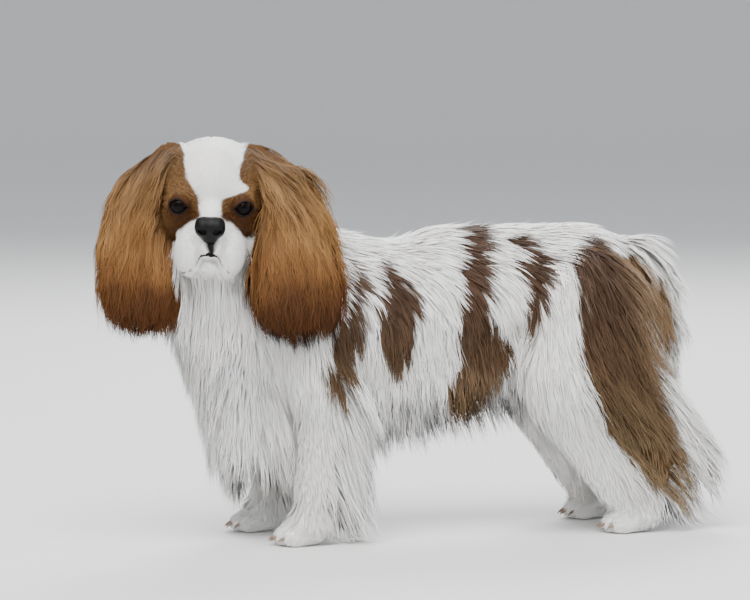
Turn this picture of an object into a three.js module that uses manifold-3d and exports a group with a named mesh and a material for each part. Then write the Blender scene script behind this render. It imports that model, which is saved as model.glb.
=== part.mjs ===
// A toy spaniel of the Blenheim colours, standing four-square with its head turned to its left.
// Life size, in millimetres, Z up. The muzzle end of the body is towards -X and its left side is
// towards -Y. The frame's origin is on the floor, under the middle of the whole dog.

import * as THREE from "three";
import { mergeVertices } from "three/addons/utils/BufferGeometryUtils.js";
import Module from "manifold-3d";

const wasm = await Module();
wasm.setup();

const V = (x, y, z) => new THREE.Vector3(x, y, z);
const DEGREE = Math.PI / 180;
const LEFT = -1;
const RIGHT = 1;
const SIDES = { left: LEFT, right: RIGHT };

// Driving dimensions
const BACK_HEIGHT = 298; // skin over the shoulders and loin
const CHEST_DEPTH = 148; // top of the back to the breastbone
const CHEST_WIDTH = 128;
const STANCE = 49; // each foot's distance from the middle plane
const FORE_FOOT_X = { [LEFT]: -82, [RIGHT]: -106 };
const HIND_FOOT_X = { [LEFT]: 256, [RIGHT]: 246 };
const PAW_TOP = 27; // height at which a leg meets its paw
const EYE_RADIUS = 10.5;
const LID_RADIUS = 12.8;
const EYE_OPENING = V(19, 14.5, 0); // the almond's width and height
const NOSTRIL = V(6, 2.2, 3); // half sizes
const MOUTH_GROOVE = 2.2; // radius of the line of the mouth
const PHILTRUM_GROOVE = 1.6;
const CLAW = { radius: 2.6, length: 14 };
const TOE_SPREAD = 8.5; // from one toe to the next
const SEARCH = new THREE.Box3(V(-330, -160, -30), V(400, 160, 440));
const SEARCH_STEP = 15;
const SHORTEST_EDGE = 0.05;
const WELD = 0.004;
const ROOT_DEPTH = 7; // how deep a lock's root is sunk
const LOCK_FLAT = 0.6; // a lock's thickness over its width
const FLOOR_CLEARANCE = 3;
const SEED = 23;
const GAP = 0.45; // a cutter's growth, which leaves about 0.3 between faceted neighbours

// Depth of the smooth coat over the skin, where the short fur is left plain
const COAT = { head: 3, paw: 3, leg: 7, torso: 12, neck: 16, tail: 15 };

// Forms: each is a function that gives a point's distance from one rounded shape

function egg(centre, radii) {
  return (p) => {
    const q = p.clone().sub(centre).divide(radii);
    const near = q.length();
    const slope = q.divide(radii).length();
    return slope < 1e-9 ? -Math.min(radii.x, radii.y, radii.z) : (near * (near - 1)) / slope;
  };
}

// A rounded limb from a to b, whose width along across is flat times its radius
function limb(a, b, radiusA, radiusB, flat = 1, across = V(0, 1, 0)) {
  const along = b.clone().sub(a);
  return (p) => {
    const v = p.clone().sub(a);
    const share = THREE.MathUtils.clamp(v.dot(along) / along.lengthSq(), 0, 1);
    const radius = radiusA + (radiusB - radiusA) * share;
    v.addScaledVector(along, -share);
    const side = v.dot(across);
    const near = v.addScaledVector(across, side / flat - side).length() / radius;
    const slope = v.addScaledVector(across, side / flat ** 2 - side / flat).length() / radius ** 2;
    return slope < 1e-9 ? -radius * flat : (near * (near - 1)) / slope;
  };
}

// Several forms melted together over a width of about `melt`
function melted(forms, melt) {
  return (p) => {
    const distances = forms.map((form) => form(p));
    const nearest = Math.min(...distances);
    const sum = distances.reduce((total, d) => total + Math.exp((nearest - d) / melt), 0);
    return nearest - melt * Math.log(sum);
  };
}

function grown(field, depth) {
  return (p) => field(p) - depth;
}

function slopeOf(field, p, step = 0.5) {
  const slope = V(0, 0, 0);
  for (const axis of ["x", "y", "z"]) {
    const ahead = p.clone();
    const behind = p.clone();
    ahead[axis] += step;
    behind[axis] -= step;
    slope[axis] = (field(ahead) - field(behind)) / (2 * step);
  }
  return slope;
}

// Moves p onto the field's surface
function settle(field, p, steps = 4) {
  for (let i = 0; i < steps; i++) {
    const slope = slopeOf(field, p);
    p.addScaledVector(slope, -field(p) / Math.max(slope.lengthSq(), 0.05));
  }
  return p;
}

// A piece is a list of points and a list of triangles that face outwards

// Even grid lines round a field's solid, found on a coarse grid round the whole dog
function gridRound(field, cell) {
  const box = new THREE.Box3();
  for (let x = SEARCH.min.x; x <= SEARCH.max.x; x += SEARCH_STEP)
    for (let y = SEARCH.min.y; y <= SEARCH.max.y; y += SEARCH_STEP)
      for (let z = SEARCH.min.z; z <= SEARCH.max.z; z += SEARCH_STEP) {
        const p = V(x, y, z);
        if (field(p) < SEARCH_STEP) box.expandByPoint(p);
      }
  box.expandByScalar(1.5 * cell);
  return ["x", "y", "z"].map((axis) => linesFrom(box.min[axis], [[box.max[axis], cell]]));
}

// Grid lines from `start` through each stretch, given as where it ends and its spacing
function linesFrom(start, stretches) {
  const lines = [start];
  for (const [end, spacing] of stretches)
    while (lines.at(-1) < end) lines.push(lines.at(-1) + spacing);
  return lines;
}

// A cell's corners are numbered by their bits, x first. An edge's number is three times its lower
// corner's plus its axis. Each face is its four corners in order round it.
const ALL_EDGES = [...Array(24).keys()].filter((edge) => !(Math.floor(edge / 3) & (1 << edge % 3)));
const CELL_FACES = [
  [0, 1, 3, 2],
  [4, 5, 7, 6],
  [0, 1, 5, 4],
  [2, 3, 7, 6],
  [0, 2, 6, 4],
  [1, 3, 7, 5],
];
const AROUND = [
  [[0, -1, -1], [0, 0, -1], [0, 0, 0], [0, -1, 0]], // the cells round an edge along x
  [[-1, 0, -1], [-1, 0, 0], [0, 0, 0], [0, 0, -1]],
  [[-1, -1, 0], [0, -1, 0], [0, 0, 0], [-1, 0, 0]],
];

function endsOf(edge) {
  const corner = Math.floor(edge / 3);
  return [corner, corner | (1 << edge % 3)];
}

function edgeBetween(a, b) {
  return Math.min(a, b) * 3 + Math.log2(a ^ b);
}

// The surface where a field is zero, as a net: each sheet that crosses a cell has one point in it
function netOf(field, lines, frame = new THREE.Matrix4()) {
  const [nx, ny, nz] = lines.map((line) => line.length);
  const at = (i, j, k) => (k * ny + j) * nx + i;
  const place = (i, j, k) => V(lines[0][i], lines[1][j], lines[2][k]).applyMatrix4(frame);
  const values = new Float64Array(nx * ny * nz);
  for (let k = 0; k < nz; k++)
    for (let j = 0; j < ny; j++)
      for (let i = 0; i < nx; i++) values[at(i, j, k)] = field(place(i, j, k));

  const points = [];
  const owner = new Map();
  for (let k = 0; k < nz - 1; k++)
    for (let j = 0; j < ny - 1; j++)
      for (let i = 0; i < nx - 1; i++) {
        const corner = (c) => [i + (c & 1), j + ((c >> 1) & 1), k + (c >> 2)];
        const value = (c) => values[at(...corner(c))];
        const leader = new Map();
        for (const edge of ALL_EDGES) {
          const [a, b] = endsOf(edge);
          if (value(a) < 0 !== value(b) < 0) leader.set(edge, edge);
        }
        if (!leader.size) continue;
        const lead = (edge) => (leader.get(edge) === edge ? edge : lead(leader.get(edge)));
        for (const face of CELL_FACES) {
          const rim = face.map((c, n) => edgeBetween(c, face[(n + 1) % 4]));
          const crossed = rim.filter((edge) => leader.has(edge));
          if (crossed.length === 2) leader.set(lead(crossed[0]), lead(crossed[1]));
          if (crossed.length === 4)
            face.forEach((c, n) => {
              if (value(c) < 0) leader.set(lead(rim[n]), lead(rim[(n + 3) % 4]));
            });
        }
        const sheets = new Map();
        for (const edge of leader.keys()) {
          const [a, b] = endsOf(edge);
          const share = value(a) / (value(a) - value(b));
          const crossing = place(...corner(a)).lerp(place(...corner(b)), share);
          if (!sheets.has(lead(edge)))
            sheets.set(lead(edge), { index: points.push(V(0, 0, 0)) - 1, count: 0 });
          const sheet = sheets.get(lead(edge));
          points[sheet.index].add(crossing);
          sheet.count++;
          owner.set(at(i, j, k) * 24 + edge, sheet.index);
        }
        for (const { index, count } of sheets.values()) points[index].divideScalar(count);
      }

  const quads = [];
  for (let k = 1; k < nz - 1; k++)
    for (let j = 1; j < ny - 1; j++)
      for (let i = 1; i < nx - 1; i++) {
        const inside = values[at(i, j, k)] < 0;
        AROUND.forEach((cells, axis) => {
          const next = [i, j, k];
          next[axis]++;
          if (inside === values[at(...next)] < 0) return;
          const quad = cells.map(([x, y, z]) => {
            const corner = -x - 2 * y - 4 * z;
            return owner.get(at(i + x, j + y, k + z) * 24 + corner * 3 + axis);
          });
          quads.push(inside ? quad : quad.reverse());
        });
      }
  relax(points, quads, field);
  const triangles = quads.flatMap(([a, b, c, d]) =>
    points[a].distanceTo(points[c]) < points[b].distanceTo(points[d])
      ? [[a, b, c], [a, c, d]]
      : [[b, c, d], [b, d, a]],
  );
  return { points, triangles };
}

// Evens out a net's points and puts them back on the surface
function relax(points, quads, field, rounds = 3) {
  for (let round = 0; round < rounds; round++) {
    const sums = points.map(() => V(0, 0, 0));
    const counts = points.map(() => 0);
    for (const quad of quads)
      quad.forEach((a, i) => {
        sums[a].add(points[quad[(i + 1) % 4]]);
        counts[a]++;
      });
    points.forEach((p, i) => settle(field, p.lerp(sums[i].divideScalar(counts[i]), 0.6)));
  }
}

// The same piece with every point moved out along its own normal
function swollen({ points, triangles }, by = GAP) {
  const normals = points.map(() => V(0, 0, 0));
  for (const [a, b, c] of triangles) {
    const [ab, ac] = [points[b].clone().sub(points[a]), points[c].clone().sub(points[a])];
    const normal = ab.cross(ac).normalize();
    for (const i of [a, b, c]) normals[i].add(normal);
  }
  return {
    points: points.map((p, i) => p.clone().addScaledVector(normals[i].normalize(), by)),
    triangles,
  };
}

function pieceFrom(geometry, matrix = new THREE.Matrix4()) {
  const bare = geometry.clone().applyMatrix4(matrix);
  bare.deleteAttribute("normal");
  bare.deleteAttribute("uv");
  const merged = mergeVertices(bare, 1e-4);
  const position = merged.getAttribute("position");
  const points = [];
  for (let i = 0; i < position.count; i++) points.push(V(0, 0, 0).fromBufferAttribute(position, i));
  const triangles = [];
  const index = merged.index.array;
  for (let i = 0; i < index.length; i += 3) triangles.push([index[i], index[i + 1], index[i + 2]]);
  return { points, triangles };
}

function solid({ points, triangles }) {
  return new wasm.Manifold(
    new wasm.Mesh({
      numProp: 3,
      vertProperties: new Float32Array(points.flatMap((p) => [p.x, p.y, p.z])),
      triVerts: new Uint32Array(triangles.flat()),
    }),
  );
}

function joined(solids) {
  return solids.slice(1).reduce((whole, next) => whole.add(next), solids[0]);
}

function pieceOf(body) {
  const { vertProperties, triVerts, numProp, numVert } = body.getMesh();
  const points = [];
  for (let i = 0; i < numVert; i++) points.push(V(0, 0, 0).fromArray(vertProperties, i * numProp));
  const triangles = [];
  for (let i = 0; i < triVerts.length; i += 3) triangles.push([...triVerts.subarray(i, i + 3)]);
  return { points, triangles };
}

// The largest closed surface of a piece, without its other bodies and its hollows. Triangles are
// on one surface where they share an edge.
function outermost({ points, triangles }) {
  const chief = triangles.map((t, i) => i);
  const find = (i) => {
    while (chief[i] !== i) i = chief[i] = chief[chief[i]];
    return i;
  };
  const edges = new Map();
  triangles.forEach((triangle, i) => {
    for (let n = 0; n < 3; n++) {
      const [a, b] = [triangle[n], triangle[(n + 1) % 3]];
      const key = Math.min(a, b) * points.length + Math.max(a, b);
      if (edges.has(key)) chief[find(i)] = find(edges.get(key));
      else edges.set(key, i);
    }
  });
  const surfaces = new Map();
  triangles.forEach((triangle, i) => {
    const surface = surfaces.get(find(i)) ?? { volume: 0, triangles: [] };
    const [a, b, c] = triangle.map((n) => points[n]);
    surface.volume += a.dot(b.clone().cross(c));
    surface.triangles.push(triangle);
    surfaces.set(find(i), surface);
  });
  const kept = [...surfaces.values()].reduce((x, y) => (y.volume > x.volume ? y : x));
  const used = [...new Set(kept.triangles.flat())];
  const renumbered = new Map(used.map((i, n) => [i, n]));
  return {
    points: used.map((i) => points[i]),
    triangles: kept.triangles.map((triangle) => triangle.map((i) => renumbered.get(i))),
  };
}

// The same piece with points that all but touch made one, and the flaps this leaves dropped
function welded({ points, triangles }) {
  const places = new Map();
  const heir = points.map((p, i) => {
    const place = p.toArray().map((x) => Math.round(x / WELD)).join();
    if (!places.has(place)) places.set(place, i);
    return places.get(place);
  });
  const faces = new Map();
  for (const triangle of triangles.map((t) => t.map((i) => heir[i]))) {
    if (new Set(triangle).size < 3) continue;
    const key = [...triangle].sort((a, b) => a - b).join();
    if (faces.has(key)) faces.delete(key);
    else faces.set(key, triangle);
  }
  const joins = new Map();
  for (const triangle of faces.values())
    triangle.forEach((a, n) => {
      const b = triangle[(n + 1) % 3];
      const key = Math.min(a, b) * points.length + Math.max(a, b);
      joins.set(key, (joins.get(key) ?? 0) + 1);
    });
  const whole = [...joins.values()].every((count) => count === 2);
  return { points, triangles: whole ? [...faces.values()] : triangles };
}

// The same piece without its shortest edges: each is drawn together to one point, where the
// surface stays whole
function withoutShortEdges({ points, triangles }) {
  let kept = triangles;
  for (let found = true; found; ) {
    found = false;
    const around = points.map(() => new Set());
    for (const triangle of kept)
      for (const a of triangle) for (const b of triangle) if (a !== b) around[a].add(b);
    const held = new Set();
    const heir = points.map((p, i) => i);
    for (const [a, b, c] of kept)
      for (const [from, to] of [[a, b], [b, c], [c, a]]) {
        if (points[from].distanceTo(points[to]) > SHORTEST_EDGE) continue;
        const ring = [...around[from], ...around[to]];
        const shared = [...around[from]].filter((i) => around[to].has(i));
        if (shared.length !== 2 || ring.some((i) => held.has(i))) continue;
        ring.forEach((i) => held.add(i));
        heir[from] = to;
        found = true;
      }
    kept = kept.map((triangle) => triangle.map((i) => heir[i]));
    kept = kept.filter(([a, b, c]) => a !== b && b !== c && c !== a);
  }
  return { points, triangles: kept };
}

function tidied(body) {
  return outermost(welded(withoutShortEdges(outermost(pieceOf(body)))));
}

function geometryOf({ points, triangles }) {
  const geometry = new THREE.BufferGeometry().setFromPoints(points);
  geometry.setIndex(triangles.flat());
  geometry.computeVertexNormals();
  return geometry;
}

// The head's own frame: x out of the muzzle, y to the dog's left, z up

const HEAD_CENTRE = V(-168, -15, 343);
const HEAD_YAW = -12.5 * DEGREE; // from straight out of the dog's left side, towards its front
const HEAD_DIP = 7 * DEGREE;
const HEAD_LEAN = 2 * DEGREE;

const headFrame = (() => {
  const forward = V(
    Math.sin(HEAD_YAW) * Math.cos(HEAD_DIP),
    -Math.cos(HEAD_YAW) * Math.cos(HEAD_DIP),
    -Math.sin(HEAD_DIP),
  );
  const left = V(0, 0, 1).cross(forward).normalize();
  const up = forward.clone().cross(left);
  left.applyAxisAngle(forward, -HEAD_LEAN);
  up.applyAxisAngle(forward, -HEAD_LEAN);
  return new THREE.Matrix4().makeBasis(forward, left, up).setPosition(HEAD_CENTRE);
})();
const headInverse = headFrame.clone().invert();
const inHead = (x, y, z) => V(x, y, z).applyMatrix4(headFrame);

// Flesh: the forms of each part

const EYE = (s) => V(41, -s * 30, -2.5);
const skull = melted(
  [
    egg(V(-10, 0, 12), V(56, 47, 43)), // cranium
    egg(V(20, 0, 18), V(30, 37, 33)), // forehead
    limb(V(30, 0, -4), V(62, 0, -12), 15, 10), // bridge of the nose
    egg(V(45, 0, -30), V(28, 27, 21)), // muzzle
    limb(V(0, 0, -36), V(42, 0, -44), 22, 14), // lower jaw
    ...[LEFT, RIGHT].flatMap((s) => [
      egg(V(15, s * 27, -14), V(33, 20, 26)), // cheek
      egg(V(31, s * 23, 11), V(16, 16, 12)), // brow
    ]),
  ],
  3.5,
);
const lips = melted(
  [
    egg(V(62, 0, -37), V(16, 14, 12)), // under the nose
    egg(V(51, -19, -46), V(25, 14.5, 24)), // left flew
    egg(V(51, 19, -46), V(25, 14.5, 24)), // right flew
  ],
  2.5,
);
const chin = egg(V(53, 0, -58), V(17, 13, 9));
const head = melted([skull, lips, chin], 1.6);
const headField = (p) => head(p.clone().applyMatrix4(headInverse));

const trunk = [
  egg(V(-50, 0, BACK_HEIGHT - CHEST_DEPTH / 2), V(104, CHEST_WIDTH / 2, CHEST_DEPTH / 2)),
  egg(V(-95, 0, 238), V(58, 54, 57)), // shoulders
  egg(V(-118, 0, 205), V(48, 44, 50)), // breast
  limb(V(0, 0, 228), V(140, 0, 247), 62, 48, 0.98), // barrel and loin
  egg(V(198, 0, 247), V(60, 53, 48)), // croup
  egg(V(228, -24, 225), V(32, 28, 42)), // left buttock
  egg(V(228, 24, 225), V(32, 28, 42)), // right buttock
];

const neck = [
  limb(V(-70, 0, 240), V(-120, 0, 282), 54, 47),
  limb(V(-120, 0, 282), V(-160, 8, 322), 47, 38),
  egg(V(-168, -24, 292), V(32, 36, 34)), // throat
];

// Long hair as smooth forms
const longHair = [
  limb(V(-146, 0, 205), V(-152, 0, 126), 44, 26, 1.1), // of the breast
  limb(V(-90, 0, 158), V(-20, 0, 150), 34, 34, 1.1), // under the chest
  limb(V(-20, 0, 150), V(130, 0, 162), 34, 30, 1.1), // of the belly
  egg(V(168, 0, 186), V(48, 46, 34)), // of the groin
];

// A fore leg stands straight under the shoulder
function foreLegPlaces(s) {
  const x = FORE_FOOT_X[s];
  return {
    blade: V(-88, s * 42, 222),
    elbow: V((x - 50) / 2, s * 52, 160),
    wrist: V(x + 11, s * STANCE, 62),
    ankle: V(x + 4, s * STANCE, 22),
  };
}

function foreLeg(s) {
  const { blade, elbow, wrist, ankle } = foreLegPlaces(s);
  return [
    limb(blade, elbow, 34, 20, 0.75),
    limb(elbow, wrist, 20, 13.5),
    limb(wrist, ankle, 13.5, 13),
    limb(elbow.clone().add(V(10, 0, -10)), wrist.clone().add(V(22, 0, -8)), 22, 12, 0.5), // feather
  ];
}

// A hind leg reaches back, with its hock behind the croup
function hindLegPlaces(s) {
  const x = HIND_FOOT_X[s];
  return {
    hip: V(206, s * 36, 240),
    knee: V(178, s * 54, 166),
    hock: V(x + 27, s * 51, 92),
    ankle: V(x + 12, s * STANCE, 22),
  };
}

function hindLeg(s) {
  const { hip, knee, hock, ankle } = hindLegPlaces(s);
  return [
    limb(hip, knee, 46, 31, 0.62),
    limb(V(222, s * 40, 214), V(232, s * 48, 160), 36, 22, 0.6), // back of the thigh
    limb(knee, hock, 29, 14, 0.8),
    limb(hock, ankle, 14.5, 12.5),
    limb(V(240, s * 44, 175), hock.clone().add(V(14, 0, 4)), 34, 26, 0.55), // breeches
    limb(hock.clone().add(V(16, 0, 0)), ankle.clone().add(V(14, 0, 22)), 22, 10, 0.5), // hock
  ];
}

// Four toes, the middle two ahead
const TOES = [-1.5, -0.5, 0.5, 1.5];
const toePlace = (x, s, k) => V(x - 20 + 3 * k * k, s * STANCE + TOE_SPREAD * k, 9);

function paw(x, s) {
  const toes = TOES.map((k) => egg(toePlace(x, s, k), V(12, 5.6, 10)));
  return [egg(V(x, s * STANCE, 14), V(21, 16, 17)), ...toes];
}

const TAIL_LINE = [V(240, 0, 274), V(268, 0, 274), V(288, 0, 255), V(299, 0, 222), V(298, 0, 188)];

function tailField() {
  const forms = TAIL_LINE.slice(1).map((p, i) => limb(TAIL_LINE[i], p, 13 - 1.8 * i, 11.2 - 1.8 * i));
  return melted(forms, 3);
}

// Each ear hangs from the side of the skull; its line runs from the root to the leather's tip
const EAR_LINE = {
  [LEFT]: [inHead(-6, 44, 30), V(-102, -57, 348), V(-104, -71, 300), V(-103, -78, 254)],
  [RIGHT]: [inHead(-6, -44, 30), V(-236, -4, 350), V(-243, -4, 304), V(-239, -4, 256)],
};
const EAR_WIDTHS = { [LEFT]: [20, 27, 38, 43], [RIGHT]: [20, 22, 33, 38] };
const EAR_FACE = V(-0.1, -1, 0.05).normalize(); // the way the broad side looks
const EAR_FLAT = 0.3;

function earField(s) {
  const [line, widths] = [EAR_LINE[s], EAR_WIDTHS[s]];
  const forms = line
    .slice(1)
    .map((p, i) => limb(line[i], p, widths[i], widths[i + 1], EAR_FLAT, EAR_FACE));
  return melted(forms, 3);
}

// Locks of hair

// Even random numbers from a fixed start, so that every build is the same
function randomFrom(seed) {
  let state = seed;
  return () => {
    state = (Math.imul(state, 1664525) + 1013904223) >>> 0;
    return state / 2 ** 32;
  };
}
const random = randomFrom(SEED);
const vary = (value, share) => value * (1 + share * (2 * random() - 1));

// A lock is a flat tube of three triangular rings and a point. It starts under the surface,
// follows the lie of the hair, bends towards the floor and rises clear of the surface.
const LOCK_WIDTHS = [0.8, 1, 0.7]; // of each ring, as shares of the lock's width
const LOCK_RISE = [5, 9, 10]; // height over the surface at the second ring, the third and the tip
const LARGEST_PUSH = 7; // the most that one step of a lock is moved out
function lockPiece(field, root, lie, { length, width, droop, rise }) {
  const normal = slopeOf(field, root).normalize();
  const line = [root.clone().addScaledVector(normal, -ROOT_DEPTH)];
  const heading = lie.clone().addScaledVector(normal, -lie.dot(normal)).normalize();
  const normals = [normal];
  const place = root.clone();
  for (const height of LOCK_RISE) {
    heading.z -= droop;
    place.addScaledVector(heading.normalize(), length / LOCK_RISE.length);
    const slope = slopeOf(field, place, 1);
    const short = THREE.MathUtils.clamp(height * rise - field(place), 0, LARGEST_PUSH);
    place.addScaledVector(slope.clone().normalize(), short);
    place.z = Math.max(place.z, FLOOR_CLEARANCE);
    line.push(place.clone());
    normals.push(slope.normalize());
  }
  const points = LOCK_WIDTHS.flatMap((share, i) => {
    const along = line[i + 1].clone().sub(line[Math.max(i - 1, 0)]).normalize();
    const side = along.clone().cross(normals[i]).setLength((share * width) / 2);
    const face = side.clone().cross(along).multiplyScalar(LOCK_FLAT);
    return [side, face, side.clone().negate()].map((v) => v.add(line[i]));
  });
  const tip = points.push(line[3]) - 1;
  const triangles = [[0, 1, 2]];
  for (let ring = 0; ring < 3; ring++)
    for (let i = 0; i < 3; i++) {
      const [a, b] = [ring * 3 + i, ring * 3 + ((i + 1) % 3)];
      if (ring === 2) triangles.push([b, a, tip]);
      else triangles.push([b, a, a + 3], [b, a + 3, b + 3]);
    }
  return { points, triangles };
}

// Locks in a row along a line of places, which are settled on the surface. Each varies a little in
// place, lie and size, and fan spreads their lie from one end of the row to the other.
const ROOT_SCATTER = 6;
const LIE_SCATTER = 0.16;
function lockRow(field, line, count, { lie, length, width, droop = 0.12, fan = 0, rise = 1 }) {
  const curve = new THREE.CatmullRomCurve3(line.length > 1 ? line : [line[0], line[0]]);
  const locks = [];
  for (let i = 0; i < count; i++) {
    const share = count > 1 ? i / (count - 1) : 0.5;
    const root = curve.getPoint(share);
    settle(field, root.add(V(random() - 0.5, 0, random() - 0.5).multiplyScalar(ROOT_SCATTER)));
    const lean = vary(fan * (2 * share - 1), 0.3) + LIE_SCATTER * (random() - 0.5);
    const sizes = { length: vary(length, 0.18), width: vary(width, 0.15), droop: vary(droop, 0.5), rise };
    locks.push(lockPiece(field, root, lie.clone().add(V(lean, 0, 0)), sizes));
  }
  return locks;
}

// Regions: simple solids that share the body out among its nodes

function barrel(low, high, radiusLow, radiusHigh, flat) {
  const along = high.clone().sub(low);
  const geometry = new THREE.CylinderGeometry(radiusHigh, radiusLow, along.length(), 10);
  const turn = new THREE.Quaternion().setFromUnitVectors(V(0, 1, 0), along.clone().normalize());
  const middle = low.clone().lerp(high, 0.5);
  return geometry.applyQuaternion(turn).scale(1, flat, 1).translate(middle.x, middle.y, middle.z);
}

function ball(centre, radii) {
  return new THREE.SphereGeometry(1, 12, 8).scale(...radii).translate(...centre);
}

const regions = {
  head: ball(V(15, 0, -3), V(110, 64, 78)).applyMatrix4(headFrame),
  neck: ball(V(-150, 0, 325), V(100, 110, 95)),
};
for (const [side, s] of Object.entries(SIDES)) {
  const [fore, hind] = [FORE_FOOT_X[s], HIND_FOOT_X[s]];
  regions["leg_front_" + side] = barrel(V(fore + 25, s * 56, -40), V(-78, s * 64, 232), 68, 56, 0.72);
  regions["leg_hind_" + side] = barrel(V(hind + 14, s * 56, -40), V(212, s * 62, 258), 120, 84, 0.44);
}

// The body's own surface: flesh under its depth of coat, one form melting into the next

const coated = (forms, depth) => forms.map((form) => grown(form, depth));
const legs = Object.values(SIDES).flatMap((s) => [...foreLeg(s), ...hindLeg(s)]);
const bodyField = melted(
  [...coated(trunk, COAT.torso), ...coated(neck, COAT.neck), ...longHair, ...coated(legs, COAT.leg)],
  6,
);
const skullField = melted([headField, ...coated(neck, COAT.neck - 5)], 4);

const evenNet = (field, cell) => netOf(field, gridRound(field, cell));
const headLines = [
  linesFrom(-125, [[20, 15], [60, 9], [100, 7.5]]),
  linesFrom(-90, [[-40, 14], [40, 9], [90, 14]]),
  linesFrom(-110, [[-75, 13], [20, 8.5], [100, 14]]),
];
const roundHead = egg(V(15, 0, -3), V(114, 68, 82));
const headEnd = (p) => roundHead(p.clone().applyMatrix4(headInverse));
const skullEnd = (p) => Math.max(skullField(p) - COAT.head, headEnd(p));
const nets = {
  head: netOf(skullEnd, headLines, headFrame),
  leg: evenNet(bodyField, 17),
  neck: evenNet(bodyField, 18),
  torso: evenNet(bodyField, 24),
};

// Nodes: each is a net, the region it keeps to, and what it is cut clear of

const WHITE = 0xe9e4da;
const CHESTNUT = 0x8a4a22;
const BLACK = 0x14110f;

const nodes = [];
function addNode(name, colour, net, region, clearOf, locks = []) {
  nodes.push({ name, colour, net, region, clearOf, locks });
}

const eyeball = new THREE.SphereGeometry(EYE_RADIUS, 12, 8);
const eyes = Object.entries(SIDES).map(([side, s]) => {
  const eye = pieceFrom(eyeball, new THREE.Matrix4().setPosition(inHead(...EYE(s))));
  addNode("eye_" + side, BLACK, eye, null, []);
  return eye;
});

const nose = melted(
  [
    egg(V(75, 0, -19), V(9, 12, 10)),
    egg(V(76, 8, -19), V(8.5, 7, 7.5)),
    egg(V(76, -8, -19), V(8.5, 7, 7.5)),
    egg(V(73, 0, -28), V(8, 5.5, 7)),
  ],
  1.5,
);
const noseNet = evenNet((p) => nose(p.clone().applyMatrix4(headInverse)), 5);
const nostrils = [LEFT, RIGHT].map((s) => {
  const nostril = new THREE.SphereGeometry(1, 8, 5).scale(...NOSTRIL).rotateX(s * 0.5).rotateZ(-s * 0.5);
  return pieceFrom(nostril.translate(83, -s * 7.5, -19), headFrame);
});
addNode("nose", BLACK, noseNet, null, nostrils);

// The lids are a ball round each eye, opened by an almond
const lids = Object.values(SIDES).map((s) => ball(EYE(s), V(1, 1, 1).multiplyScalar(LID_RADIUS)));
const openings = Object.values(SIDES).map((s) => {
  const almond = new THREE.CylinderGeometry(1, 1, 24, 10).rotateZ(-Math.PI / 2);
  almond.scale(1, EYE_OPENING.x / 2, EYE_OPENING.y / 2).translate(16, 0, 0).rotateZ(-0.2 * s);
  return almond.translate(...EYE(s));
});

// A groove is a five-sided tube with pointed ends, along a line of places laid on the head
function groove(places, radius) {
  const line = places.map((p) => settle(headField, p.clone().applyMatrix4(headFrame)));
  const points = [line[0]];
  line.slice(1, -1).forEach((place, i) => {
    const along = line[i + 2].clone().sub(line[i]).normalize();
    const out = slopeOf(headField, place).cross(along).setLength(radius);
    for (let n = 0; n < 5; n++)
      points.push(out.clone().applyAxisAngle(along, (n * Math.PI) / 2.5).add(place));
  });
  const tip = points.push(line.at(-1)) - 1;
  const triangles = [];
  for (let n = 0; n < 5; n++) {
    const m = (n + 1) % 5;
    triangles.push([0, 1 + m, 1 + n], [tip, tip - 5 + n, tip - 5 + m]);
    for (let a = 1; a + 5 < tip; a += 5)
      triangles.push([a + n, a + m, a + m + 5], [a + n, a + m + 5, a + n + 5]);
  }
  return { points, triangles };
}
const mouthHalf = [V(40, 33, -60), V(58, 28, -64), V(69, 17, -58), V(76, 6, -48)];
const otherHalf = mouthHalf.map((p) => p.clone().multiply(V(1, -1, 1))).reverse();
const mouth = groove([...mouthHalf, V(78, 0, -45), ...otherHalf], MOUTH_GROOVE);
const philtrumLine = [V(82, 0, -28), V(82, 0, -33), V(80, 0, -40), V(78, 0, -46)];
const philtrum = groove(philtrumLine, PHILTRUM_GROOVE);

let headSolid = solid(nets.head).intersect(solid(pieceFrom(regions.head)));
for (const lid of lids) headSolid = headSolid.add(solid(pieceFrom(lid, headFrame)));
for (const opening of openings) headSolid = headSolid.subtract(solid(pieceFrom(opening, headFrame)));
for (const line of [mouth, philtrum]) headSolid = headSolid.subtract(solid(line));
addNode("head", WHITE, pieceOf(headSolid), null, [...eyes, noseNet]);

const wholeBody = [nets.head, swollen(nets.torso, 2.5)];
for (const [side, s] of Object.entries(SIDES)) {
  const field = earField(s);
  const [top, mid, low] = EAR_LINE[s].slice(1);
  const fringe = { lie: V(0, 0, -1), width: 28, droop: 0.05, rise: 0.6 };
  const rows = [
    { at: top.clone().add(V(0, 0, 10)), half: 8, count: 2, length: 75, fan: 0 },
    { at: top.clone().lerp(mid, 0.45), half: 12, count: 2, length: 82, fan: 0.1 },
    { at: mid.clone().lerp(low, 0.1), half: 24, count: 3, length: 78, fan: 0.2 },
    { at: low.clone().add(V(0, 0, 6)), half: 27, count: 3, length: 58, fan: 0.15 },
  ];
  const locks = rows.flatMap(({ at, half, count, length, fan }) => {
    const line = [-half, 0, half].map((x) => at.clone().addScaledVector(EAR_FACE, 14).add(V(x, 0, 0)));
    return lockRow(field, line, count, { ...fringe, length, fan });
  });
  const back = [V(-22, 14, 0), V(22, 14, 0)].map((v) => v.add(low));
  locks.push(...lockRow(field, back, 2, { ...fringe, length: 54 }));
  addNode("ear_" + side, CHESTNUT, evenNet(field, 17), null, wholeBody, locks);
}

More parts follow.
